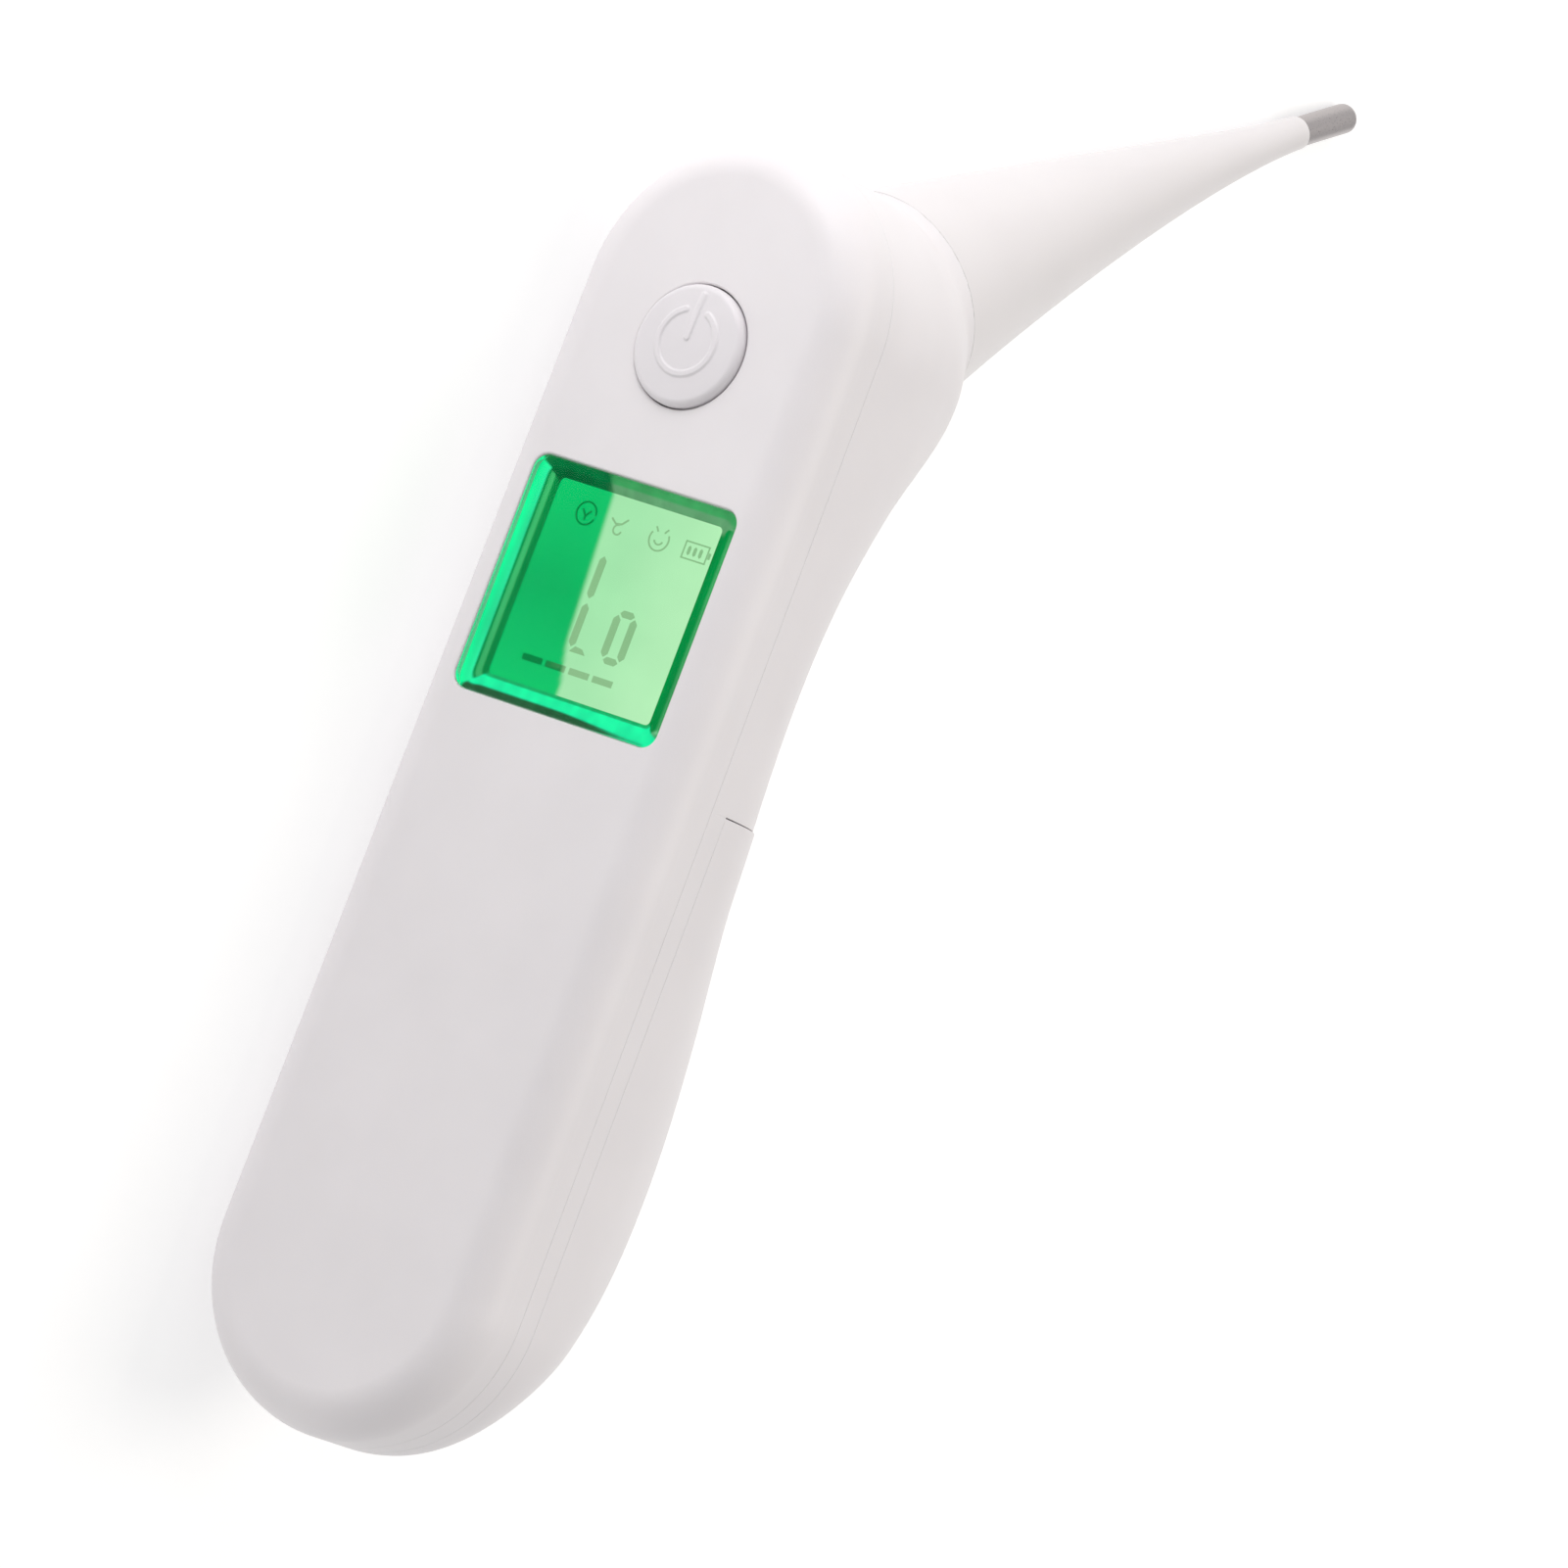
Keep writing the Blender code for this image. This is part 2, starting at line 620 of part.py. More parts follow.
def make_battery_door():
    """The sliding cover over the lower back, with two rails and a latch tongue inside."""
    door = add_object("battery_door", back_solid(DOOR_SEAM_Y + GAP / 2, 0.0), "casing_white")
    hollow = add_cutter("door_hollow", back_solid(DOOR_SEAM_Y - WALL, WALL))
    boolean(door, hollow, "DIFFERENCE")
    above = box_mesh((-BEYOND, 0, DOOR_TOP_Z - GAP / 2),
                     (BEYOND, 2 * BEYOND, BODY_LENGTH + BEYOND))
    boolean(door, add_cutter("above_door", above), "DIFFERENCE")
    for side in (-1, 1):
        xs = sorted((side * DOOR_RAIL_INNER_X, side * (HALF_WIDTH - WALL / 2)))
        rail = box_mesh((xs[0], DOOR_RAIL_Y, DOOR_RAIL_BOTTOM_Z),
                        (xs[1], DOOR_RAIL_Y + DOOR_RAIL_THICKNESS, DOOR_RAIL_TOP_Z))
        boolean(door, add_cutter(f"door_rail_{'left' if side < 0 else 'right'}", rail), "UNION")
    tongue_back = back_depth(NECK_Z) - WALL - GAP
    tongue = box_mesh((-TONGUE_HALF_WIDTH, tongue_back - TONGUE_THICKNESS, TONGUE_BOTTOM_Z),
                      (TONGUE_HALF_WIDTH, tongue_back, DOOR_TOP_Z + TONGUE_REACH))
    block = box_mesh((-BLOCK_HALF_WIDTH, tongue_back - TONGUE_THICKNESS / 2, BLOCK_BOTTOM_Z),
                     (BLOCK_HALF_WIDTH, tongue_back + BLOCK_THICKNESS, BLOCK_TOP_Z))
    tongue_cutter = add_cutter("latch_tongue", tongue)
    boolean(tongue_cutter, add_cutter("latch_block", block), "UNION")
    boolean(door, tongue_cutter, "UNION")
    return door


# ---------------------------------------------------------------- display
def make_display():
    """The window, the light box behind it, and what the light box holds in front of the board."""
    half = WINDOW_HALF_WIDTH - GAP
    bottom = WINDOW_BOTTOM_Z + GAP
    top = WINDOW_TOP_Z - GAP
    add_object("display_lens", plate_mesh((-half, -LENS_PROUD, bottom), (half, LENS_BACK_Y, top),
                                          WINDOW_CORNER), "window_clear")
    make_light_box(half, bottom, top)
    middle = (WINDOW_BOTTOM_Z + WINDOW_TOP_Z) / 2
    glass_back = LCD_FRONT_Y + LCD_THICKNESS
    add_object("lcd_glass", box_mesh((-LCD_HALF_SIZE, LCD_FRONT_Y, middle - LCD_HALF_SIZE),
                                     (LCD_HALF_SIZE, glass_back, middle + LCD_HALF_SIZE)),
               "lcd_green")
    front = glass_back + GAP
    back = BOARD_FRONT_Y - GAP
    guide = plate_mesh((-GUIDE_HALF_WIDTH, front, middle - GUIDE_HALF_HEIGHT),
                       (GUIDE_HALF_WIDTH, back, middle + GUIDE_HALF_HEIGHT), 0.0008)
    add_object("backlight_panel", guide, "light_guide")
    for side, name in ((-1, "left"), (1, "right")):
        xs = sorted((side * LAMP_INNER_X, side * LAMP_OUTER_X))
        lamp = box_mesh((xs[0], back - LAMP_THICKNESS, middle - LAMP_HALF_HEIGHT),
                        (xs[1], back, middle + LAMP_HALF_HEIGHT))
        add_object(f"backlight_led_{name}", lamp, "led_package")
    for side, name in ((-1, "bottom"), (1, "top")):
        zs = sorted((middle + side * STRIP_INNER_Z, middle + side * STRIP_OUTER_Z))
        strip = box_mesh((-STRIP_HALF_LENGTH, front, zs[0]), (STRIP_HALF_LENGTH, back, zs[1]))
        add_object(f"zebra_strip_{name}", strip, "zebra_rubber")


def make_light_box(half, bottom, top):
    """A box with a neck that fills the window hole, and a bezel that slopes down to the glass."""
    box = plate_mesh((-LIGHT_BOX_HALF_WIDTH, WALL + GAP, WINDOW_BOTTOM_Z - LIGHT_BOX_OVERHANG),
                     (LIGHT_BOX_HALF_WIDTH, BOARD_FRONT_Y - GAP, WINDOW_TOP_Z + LIGHT_BOX_OVERHANG),
                     0.0010)
    frame = add_object("lcd_frame", box, "light_box")
    neck = plate_mesh((-half, LENS_BACK_Y + GAP, bottom), (half, LCD_FRONT_Y, top), WINDOW_CORNER)
    boolean(frame, add_cutter("light_box_neck", neck), "UNION")
    room = LCD_HALF_SIZE + GAP
    middle = (WINDOW_BOTTOM_Z + WINDOW_TOP_Z) / 2
    cavity = plate_mesh((-room, LCD_FRONT_Y - GAP, middle - room),
                        (room, BOARD_BACK_Y, middle + room), 0.0004)
    boolean(frame, add_cutter("light_box_cavity", cavity), "DIFFERENCE")
    builder = bmesh.new()
    rings = []
    for depth, inset, top_inset in ((0.0, -2 * GAP, -2 * GAP),
                                    (LCD_FRONT_Y, BEZEL_WIDTH, BEZEL_TOP_WIDTH)):
        corners = ((half - inset, top - top_inset), (inset - half, top - top_inset),
                   (inset - half, bottom + inset), (half - inset, bottom + inset))
        rings.append([builder.verts.new((x, depth, z)) for x, z in corners])
    skin_rings(builder, rings)
    builder.faces.new(rings[0])
    builder.faces.new(rings[1])
    boolean(frame, add_cutter("light_box_bezel", builder), "DIFFERENCE")


# ---------------------------------------------------------------- circuit board
def make_board():
    board = add_object("main_board", plate_mesh(
        (-BOARD_HALF_WIDTH, BOARD_FRONT_Y, BOARD_BOTTOM_Z),
        (BOARD_HALF_WIDTH, BOARD_BACK_Y, BOARD_TOP_Z), BOARD_CORNER), "board_green")
    for side in (-1, 1):
        hole = turned_mesh([(BOARD_FRONT_Y - WALL, 0), (BOARD_FRONT_Y - WALL, BOARD_HOLE_RADIUS),
                            (BOARD_BACK_Y + WALL, BOARD_HOLE_RADIUS), (BOARD_BACK_Y + WALL, 0)],
                           (side * BOARD_SCREW_X, 0, BOARD_SCREW_Z), (0, 1, 0), 12)
        boolean(board, add_cutter(f"board_hole_{side}", hole), "DIFFERENCE")
    back = BOARD_BACK_Y + GAP
    for name, left, bottom, right, top, thickness in CHIPS:
        chip = box_mesh((left, back, bottom), (right, back + thickness, top))
        add_object(name, chip, "chip_black")
    add_object("crystal_can", plate_mesh((-0.0108, back, 0.0990), (-0.0076, back + 0.0018, 0.1065),
                                         0.0015), "can_metal")
    add_object("capacitor", turned_mesh([(0, 0), (0, 0.0020), (0.0036, 0.0020), (0.0040, 0.0017),
                                         (0.0040, 0)], (0.0080, back, 0.1090), (0, 1, 0), 20),
               "can_metal")
    buzzer = [(0, 0.0), (0, 0.0058), (0.0018, 0.0058), (0.0023, 0.0052), (0.0023, 0.0)]
    add_object("buzzer", turned_mesh(buzzer, (0.0, back, BUZZER_Z), (0, 1, 0), 28), "buzzer_brass")
    for side, name in ((1, "right"), (-1, "left")):
        make_screw(f"board_screw_{name}", side * BOARD_SCREW_X, BOARD_SCREW_Z, back)


def make_switch():
    """The snap switch under the power button, with its own plunger."""
    half = SWITCH_HALF_SIZE
    block = box_mesh((-half, SWITCH_FRONT_Y, BUTTON_Z - half),
                     (half, BOARD_FRONT_Y - GAP, BUTTON_Z + half))
    body = add_object("switch_body", block, "switch_black")
    origin = (0, PLUNGER_FRONT_Y, BUTTON_Z)
    bottom = PLUNGER_LENGTH + BUTTON_TRAVEL + GAP
    well = turned_mesh([(0, 0), (0, SWITCH_WELL_RADIUS), (bottom, SWITCH_WELL_RADIUS),
                        (bottom, 0)], origin, (0, 1, 0), 20)
    boolean(body, add_cutter("switch_well", well), "DIFFERENCE")
    outline = [(0, 0), (0, PLUNGER_RADIUS - GAP), (GAP, PLUNGER_RADIUS),
               (PLUNGER_LENGTH, PLUNGER_RADIUS), (PLUNGER_LENGTH, 0)]
    add_object("switch_plunger", turned_mesh(outline, origin, (0, 1, 0), 20), "plunger_grey",
               origin)


def make_button():
    """The round power button: a shallow dome, a rim held behind the shell, and a stem."""
    origin = (0, 0, BUTTON_Z)
    r = BUTTON_RADIUS
    outline = [(-BUTTON_PROUD, 0), (-BUTTON_PROUD + 0.0001, r * 0.35),
               (-BUTTON_PROUD + 0.0003, r * 0.62), (-BUTTON_PROUD + 0.0005, r * 0.80),
               (-BUTTON_PROUD + 0.0007, r * 0.93), (-BUTTON_PROUD + 0.0011, r),
               (BUTTON_RIM_FRONT_Y, r), (BUTTON_RIM_FRONT_Y, r + BUTTON_RIM_WIDTH),
               (BUTTON_RIM_BACK_Y, r + BUTTON_RIM_WIDTH), (BUTTON_RIM_BACK_Y, BUTTON_STEM_RADIUS),
               (BUTTON_STEM_END_Y, BUTTON_STEM_RADIUS), (BUTTON_STEM_END_Y, 0)]
    add_object("power_button", turned_mesh(outline, origin, (0, 1, 0), 36), "casing_white", origin)


def make_screw(name, x, z, seat_y):
    """A cross-head screw whose head rests at seat_y and whose shank points to the front."""
    head = SCREW_HEAD_LENGTH
    outline = [(head, 0.0), (head, SCREW_HEAD_RADIUS * 0.67), (head * 0.7, SCREW_HEAD_RADIUS),
               (0.0, SCREW_HEAD_RADIUS), (0.0, SCREW_SHANK_RADIUS),
               (-SCREW_SHANK_LENGTH * 0.9, SCREW_SHANK_RADIUS),
               (-SCREW_SHANK_LENGTH, SCREW_SHANK_RADIUS / 2), (-SCREW_SHANK_LENGTH, 0)]
    screw = add_object(name, turned_mesh(outline, (x, seat_y, z), (0, 1, 0), 14), "screw_steel")
    slot = cross_mesh((x, seat_y + 0.0006, z), 0.0011, 0.0003, 0.0024)
    boolean(screw, add_cutter(name + "_slot", slot), "DIFFERENCE")
    return screw


# ---------------------------------------------------------------- battery bay
def make_battery_tray():
    """The floor of the battery bay: two cradles, and the fixed rails that hold the door."""
    floor = plate_mesh((-TRAY_HALF_WIDTH, TRAY_FRONT_Y, TRAY_BOTTOM_Z),
                       (TRAY_HALF_WIDTH, TRAY_FLOOR_Y, TRAY_TOP_Z), TRAY_CORNER, 6)
    tray = add_object("battery_tray", floor, "inner_plastic")
    cradle = box_mesh((-CRADLE_HALF_WIDTH, TRAY_FLOOR_Y - GAP, CRADLE_BOTTOM_Z - CRADLE_END_WALL),
                      (CRADLE_HALF_WIDTH, TRAY_WALL_Y, CRADLE_TOP_Z + CRADLE_END_WALL))
    boolean(tray, add_cutter("cradle_block", cradle), "UNION")
    for side, name in ((-1, "left"), (1, "right")):
        trough = turned_mesh([(CRADLE_BOTTOM_Z, 0), (CRADLE_BOTTOM_Z, CRADLE_RADIUS),
                              (CRADLE_TOP_Z, CRADLE_RADIUS), (CRADLE_TOP_Z, 0)],
                             (side * CELL_X, CELL_Y, 0), (0, 0, 1), 28)
        boolean(tray, add_cutter(f"trough_{name}", trough), "DIFFERENCE")
        web_x = sorted((side * WEB_INNER_X, side * WEB_OUTER_X))
        web = box_mesh((web_x[0], TRAY_FLOOR_Y - 2 * GAP, WEB_BOTTOM_Z),
                       (web_x[1], LIP_BACK_Y + 0.0001, WEB_TOP_Z))
        lip_x = sorted((side * (WEB_INNER_X + 0.0001), side * LIP_OUTER_X))
        lip = box_mesh((lip_x[0], LIP_FRONT_Y, WEB_BOTTOM_Z + 0.0004),
                       (lip_x[1], LIP_BACK_Y, WEB_TOP_Z - 0.0004))
        web_cutter = add_cutter(f"rail_web_{name}", web)
        boolean(web_cutter, add_cutter(f"rail_lip_{name}", lip), "UNION")
        boolean(tray, web_cutter, "UNION")
    for name, start_z in (("low", CRADLE_BOTTOM_Z - 0.0002), ("high", CRADLE_TOP_Z - 0.0010)):
        slot = box_mesh((-0.0099, CONTACT_FRONT_Y - GAP, start_z),
                        (0.0099, BEYOND, start_z + 0.0012))
        boolean(tray, add_cutter(f"contact_slot_{name}", slot), "DIFFERENCE")
    for number, (x, z) in enumerate(tray_screws()):
        hole = turned_mesh([(TRAY_FRONT_Y - WALL, 0), (TRAY_FRONT_Y - WALL, SCREW_HOLE_RADIUS),
                            (TRAY_FLOOR_Y + WALL, SCREW_HOLE_RADIUS), (TRAY_FLOOR_Y + WALL, 0)],
                           (x, 0, z), (0, 1, 0), 12)
        boolean(tray, add_cutter(f"tray_hole_{number}", hole), "DIFFERENCE")
        make_screw(f"case_screw_{number + 1}", x, z, TRAY_FLOOR_Y + GAP)
    return tray


def tray_screws():
    return ((0.0, TRAY_SCREW_LOW_Z), (TRAY_SCREW_X, TRAY_SCREW_HIGH_Z),
            (-TRAY_SCREW_X, TRAY_SCREW_HIGH_Z))


def make_cells():
    """Two cells, one each way up, with their springs and contact plates."""
    low = CRADLE_BOTTOM_Z + SPRING_SEAT_DEPTH
    high = CRADLE_TOP_Z - SPRING_SEAT_DEPTH
    full_length = CELL_LENGTH + NUB_LENGTH
    outline = [(0, 0), (0, CELL_RADIUS - CELL_CHAMFER), (CELL_CHAMFER, CELL_RADIUS),
               (CELL_LENGTH - CELL_CHAMFER, CELL_RADIUS), (CELL_LENGTH, CELL_RADIUS - CELL_CHAMFER),
               (CELL_LENGTH, NUB_RADIUS), (full_length, NUB_RADIUS - NUB_CHAMFER),
               (full_length, 0)]
    for name, x, foot, rise in (("battery_left", -CELL_X, high - full_length, 1),
                                ("battery_right", CELL_X, low + full_length, -1)):
        cell = turned_mesh(outline, (x, CELL_Y, foot), (0, 0, rise), CELL_FACETS)
        add_object(name, cell, "cell_sleeve")
    spring_room = high - low - full_length
    make_spring("battery_spring_left", -CELL_X, low, spring_room)
    make_spring("battery_spring_right", CELL_X, high, -spring_room)
    bridge_z = low - GAP - CONTACT_THICKNESS
    bridge = box_mesh((-CELL_X - 0.0036, CONTACT_FRONT_Y, bridge_z),
                      (CELL_X + 0.0036, CONTACT_BACK_Y - 0.0010, bridge_z + CONTACT_THICKNESS))
    add_object("contact_bridge", bridge, "spring_steel")
    for name, x in (("contact_plate_left", -CELL_X), ("contact_plate_right", CELL_X)):
        plate_z = high + GAP
        blade = box_mesh((x - 0.0040, CONTACT_FRONT_Y, plate_z),
                         (x + 0.0040, CONTACT_BACK_Y, plate_z + CONTACT_THICKNESS))
        plate = add_object(name, blade, "spring_steel")
        tab = box_mesh((x - 0.0012, 0.0192, high + 0.0005), (x + 0.0012, 0.0196, high + 0.0044))
        boolean(plate, add_cutter(name + "_tab", tab), "UNION")


def make_spring(name, x, seat_z, length):
    """A tapered coil spring that presses on the flat end of a cell."""
    turns = 3
    steps = 9
    ends = SPRING_WIRE_RADIUS + GAP
    points = []
    for step in range(turns * steps + 1):
        share = step / (turns * steps)
        radius = SPRING_WIDE_RADIUS + (SPRING_NARROW_RADIUS - SPRING_WIDE_RADIUS) * share
        angle = 2 * math.pi * turns * share
        rise = math.copysign(ends, length) + (length - 2 * math.copysign(ends, length)) * share
        points.append((x + radius * math.cos(angle), CELL_Y + radius * math.sin(angle),
                       seat_z + rise))
    tube_object(name, points, SPRING_WIRE_RADIUS, "spring_steel", 1)


# ---------------------------------------------------------------- probe pieces
def make_probe():
    steps = 32
    rows = 13
    end = cone_share()
    profile = []
    for row in range(rows + 1):
        share = end * (row / rows) ** 1.15
        shift = GAP if row == 0 else 0.0
        profile.append((share, cone_radius(share * probe_length()), shift))
    for row in range(rows, 0, -2):
        share = end * (row / rows) ** 1.15
        wall = 0.0007 + 0.0010 * (1 - share)
        profile.append((share, cone_radius(share * probe_length()) - wall, 0.0))
    profile.append((0.0, SPIGOT_RADIUS - 0.0016, 0.0))
    profile.append((0.0, SPIGOT_RADIUS - 0.0016, -SPIGOT_LENGTH))
    profile.append((0.0, SPIGOT_RADIUS, -SPIGOT_LENGTH))
    profile.append((0.0, SPIGOT_RADIUS, GAP))
    add_object("probe_cone", tube_on_line(profile, steps), "probe_white")
    make_tip_cap(end)
    sleeve = [(0.12, 0.0007, 0), (0.35, 0.0007, 0), (0.6, 0.0007, 0), (0.93, 0.0007, 0),
              (0.93, 0.0004, 0), (0.6, 0.0004, 0), (0.35, 0.0004, 0), (0.12, 0.0004, 0)]
    add_object("lead_sleeve", tube_on_line(sleeve, 12), "lead_grey")
    bead = [(0.945, 0.0005, 0), (0.950, 0.0009, 0), (0.962, 0.0009, 0), (0.968, 0.0005, 0)]
    add_object("thermistor_bead", tube_on_line(bead, 14, True), "bead_amber")


def make_tip_cap(end):
    """The closed metal cap on the probe's end, open towards the cone."""
    start = end + GAP / probe_length()
    wall = 0.00030
    profile = [(start, CAP_RADIUS, 0.0), (start + 0.05, CAP_RADIUS, 0.0)]
    nose = CAP_RADIUS
    for step in range(1, 5):
        angle = math.pi / 2 * step / 5
        share = 1 - nose * (1 - math.sin(angle)) / probe_length()
        profile.append((share, CAP_RADIUS * math.cos(angle), 0.0))
    builder = bmesh.new()
    steps = 24
    outer = [ring_on_line(builder, *row[:2], steps, row[2]) for row in profile]
    outer.append([builder.verts.new(PROBE_TIP)])
    inner_share = 1 - nose / probe_length()
    inner = [ring_on_line(builder, start, CAP_RADIUS - wall, steps),
             ring_on_line(builder, inner_share, CAP_RADIUS - wall, steps)]
    point, direction = probe_line(inner_share)
    inner.append([builder.verts.new(point + direction * (nose * 0.5))])
    skin_rings(builder, outer)
    skin_rings(builder, inner)
    skin_rings(builder, [outer[0], inner[0]])
    return add_object("probe_tip_cap", builder, "tip_steel")


def make_probe_fixing():
    """The soft seal and the threaded ring that hold the probe in the head."""
    direction = probe_direction()
    ring_start = -BOSS_FLOOR - GAP
    ring_end = ring_start - CLAMP_RING_LENGTH
    for name, finish_name, start, end, inner, outer in (
            ("probe_clamp_ring", "inner_plastic", ring_start, ring_end,
             SPIGOT_RADIUS + GAP, CLAMP_RING_RADIUS),
            ("probe_seal", "seal_silicone", ring_end - GAP, ring_end - GAP - SEAL_LENGTH,
             SPIGOT_RADIUS + GAP, SEAL_RADIUS),
            ("lead_grommet", "seal_silicone", -2 * GAP, -2 * GAP - GROMMET_LENGTH,
             GROMMET_HOLE_RADIUS, GROMMET_RADIUS)):
        outline = [(start, inner), (start, outer), (end, outer), (end, inner)]
        add_object(name, turned_mesh(outline, PROBE_BASE, direction, BOSS_FACETS), finish_name)


def make_leads():
    """Leads that run inside the casing, each whole from end to end."""
    direction = probe_direction()
    inside = PROBE_BASE
    start, _ = probe_line(0.105)
    tube_object("sensor_lead", [start, inside - direction * 0.001, inside - direction * 0.009,
                                (0.0, 0.0185, 0.1316), (0.0, 0.0150, 0.1302),
                                (0.0, BOARD_BACK_Y + 0.0010, 0.1300)],
                SENSOR_LEAD_RADIUS, "lead_grey", 5)
    high = CRADLE_TOP_Z - SPRING_SEAT_DEPTH + 0.0044
    for name, finish_name, side in (("lead_positive", "lead_red", -1),
                                    ("lead_negative", "lead_black", 1)):
        x = side * CELL_X
        tube_object(name, [(x, 0.0194, high + 0.0008), (x, 0.0190, high + 0.0040),
                           (x * 0.75, 0.0168, 0.0760), (x * 0.6, 0.0145, 0.0790),
                           (side * 0.0082, 0.0130, 0.0800),
                           (side * 0.0082, BOARD_BACK_Y + 0.0009, 0.0800)],
                    LEAD_RADIUS, finish_name, 4)


# ---------------------------------------------------------------- resting pose
def lay_down(nodes):
    """Lays the thermometer on its side, tilted until its side and its probe tip both touch."""
    frame = bpy.data.objects.new("thermometer", None)
    bpy.context.scene.collection.objects.link(frame)
    for obj in bpy.data.objects:
        if obj != frame:
            obj.parent = frame
    graph = bpy.context.evaluated_depsgraph_get()
    casing = points_of(nodes["rear_shell"], graph) + points_of(nodes["battery_door"], graph)
    tip = points_of(nodes["probe_tip_cap"], graph)
    low, high = 0.0, math.radians(40)
    while high - low > 1e-7:
        middle = (low + high) / 2
        if lowest(tip, middle) > lowest(casing, middle):
            low = middle
        else:
            high = middle
    frame.matrix_world = turned(high)
    bpy.context.view_layer.update()
    graph = bpy.context.evaluated_depsgraph_get()
    every = []
    for obj in bpy.data.objects:
        if obj.type in ("MESH", "CURVE") and not obj.hide_render:
            every += points_of(obj, graph)
    lows = [min(p[axis] for p in every) for axis in range(3)]
    highs = [max(p[axis] for p in every) for axis in range(3)]
    middle = Vector(((lows[0] + highs[0]) / 2, (lows[1] + highs[1]) / 2, lows[2]))
    frame.matrix_world = Matrix.Translation(-middle) @ turned(high)


def turned(tilt):
    """Upright directions to lying ones: x becomes up, z points to -X, then a tilt about X."""
    on_side = Matrix.Rotation(-math.pi / 2, 4, "Y")
    return Matrix.Rotation(-tilt, 4, "X") @ on_side


def lowest(points, tilt):
    matrix = turned(tilt)
    return min((matrix @ p).z for p in points)


def points_of(obj, graph):
    """The points of an object as its modifiers leave it, in the world's directions."""
    evaluated = obj.evaluated_get(graph)
    mesh = evaluated.to_mesh()
    points = [evaluated.matrix_world @ v.co for v in mesh.vertices]
    evaluated.to_mesh_clear()
    return points


def main():
    clear_scene()
    make_front_shell()
    nodes = {"rear_shell": make_rear_shell(), "battery_door": make_battery_door()}
    make_display()
    make_board()
    make_switch()
    make_button()
    make_battery_tray()
    make_cells()
    make_probe()
    nodes["probe_tip_cap"] = bpy.data.objects["probe_tip_cap"]
    make_probe_fixing()
    make_leads()
    lay_down(nodes)


main()
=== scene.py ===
import json
import math

import bmesh
import bpy
import numpy as np
from mathutils import Matrix, Vector


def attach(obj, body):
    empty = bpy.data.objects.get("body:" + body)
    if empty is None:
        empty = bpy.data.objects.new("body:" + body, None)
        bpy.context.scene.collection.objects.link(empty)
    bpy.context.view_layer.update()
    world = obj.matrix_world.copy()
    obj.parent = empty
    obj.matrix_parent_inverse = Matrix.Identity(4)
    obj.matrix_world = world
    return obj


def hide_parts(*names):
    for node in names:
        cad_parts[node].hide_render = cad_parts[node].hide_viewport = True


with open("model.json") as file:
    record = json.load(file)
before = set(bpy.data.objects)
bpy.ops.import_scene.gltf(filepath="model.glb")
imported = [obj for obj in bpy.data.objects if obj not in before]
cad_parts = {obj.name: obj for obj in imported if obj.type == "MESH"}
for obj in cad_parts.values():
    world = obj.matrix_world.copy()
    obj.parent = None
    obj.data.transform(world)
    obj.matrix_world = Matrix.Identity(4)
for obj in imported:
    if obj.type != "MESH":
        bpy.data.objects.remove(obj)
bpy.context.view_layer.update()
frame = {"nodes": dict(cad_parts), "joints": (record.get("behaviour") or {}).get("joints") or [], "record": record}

# Shapes are made in the thermometer's own upright directions, in metres: x to the right of
# someone who reads the display, y from the flat front face to the back, z up the handle.
# UPRIGHT, below, takes them to the frame, where the thermometer lies on its side.
FRONT_FACE_MARK_Z = 0.045

# ---------------- casing dimensions
HALF_WIDTH = 0.0190
BODY_LENGTH = 0.150
LOW_Z = HALF_WIDTH
HIGH_Z = BODY_LENGTH - HALF_WIDTH
END_TAPER = 0.028
FRONT_EDGE_RADIUS = 0.0050
WALL = 0.0020
PARTING_Y = 0.0080
DOOR_SEAM_Y = 0.0110
DOOR_TOP_Z = 0.0785
STRAIGHT_WALL_Y = 0.0120
BACK_ROUNDNESS = 2.2
BACK_DEPTH = (
    (-0.010, 0.0150), (0.010, 0.0252), (0.024, 0.0340), (0.037, 0.0362), (0.052, 0.0344),
    (0.072, 0.0288), (0.090, 0.0260), (0.103, 0.0272), (0.116, 0.0325), (0.128, 0.0395),
    (0.140, 0.0400), (0.165, 0.0390),
)
SEAM = 0.00003          # width of the gap between two casing pieces
DOOR_SEAM = 0.00014     # width of the gap across the back, above the battery door
DOOR_STEP = 0.00025     # how far the door's upper edge stands out from the rear casing
DOOR_STEP_FADE = 0.012  # length over which the door comes back flush
DOOR_STEP_RISE = 0.004  # length over which the step grows from the seam along the door's side
CHAMFER = 0.00004       # rounding of the edges along a seam
MIDDLE_SHARE = 0.05     # the innermost ring of the back, as a share of the outline
ARC_STEPS = 64
BACK_ROWS = 40
FRONT_EDGE_ROWS = 16

# Rails inside the battery door, and the height at which its latch tongue meets the casing
RAIL_INNER_X = 0.0150
RAIL_OUTER_X = 0.0180
RAIL_Y = 0.0134
RAIL_BOTTOM_Z = 0.022
RAIL_TOP_Z = 0.074
NECK_Z = 0.088
TONGUE_THICKNESS = 0.0012
TONGUE_LOW_Z = 0.0700
TONGUE_HIGH_Z = 0.0825
BLOCK_THICKNESS = 0.0026
BLOCK_LOW_Z = 0.0712
BLOCK_HIGH_Z = 0.0755
CLEARANCE = 0.0003

# Thumb ridges on the battery door
RIDGE_TOP_Z = 0.0735
RIDGE_BOTTOM_Z = 0.0645
RIDGE_PITCH = 0.0018
RIDGE_DEPTH = 0.00035
RIDGE_HALF_WIDTH = 0.0075
RIDGE_FADE = 0.0012     # length over which a ridge runs out at its ends

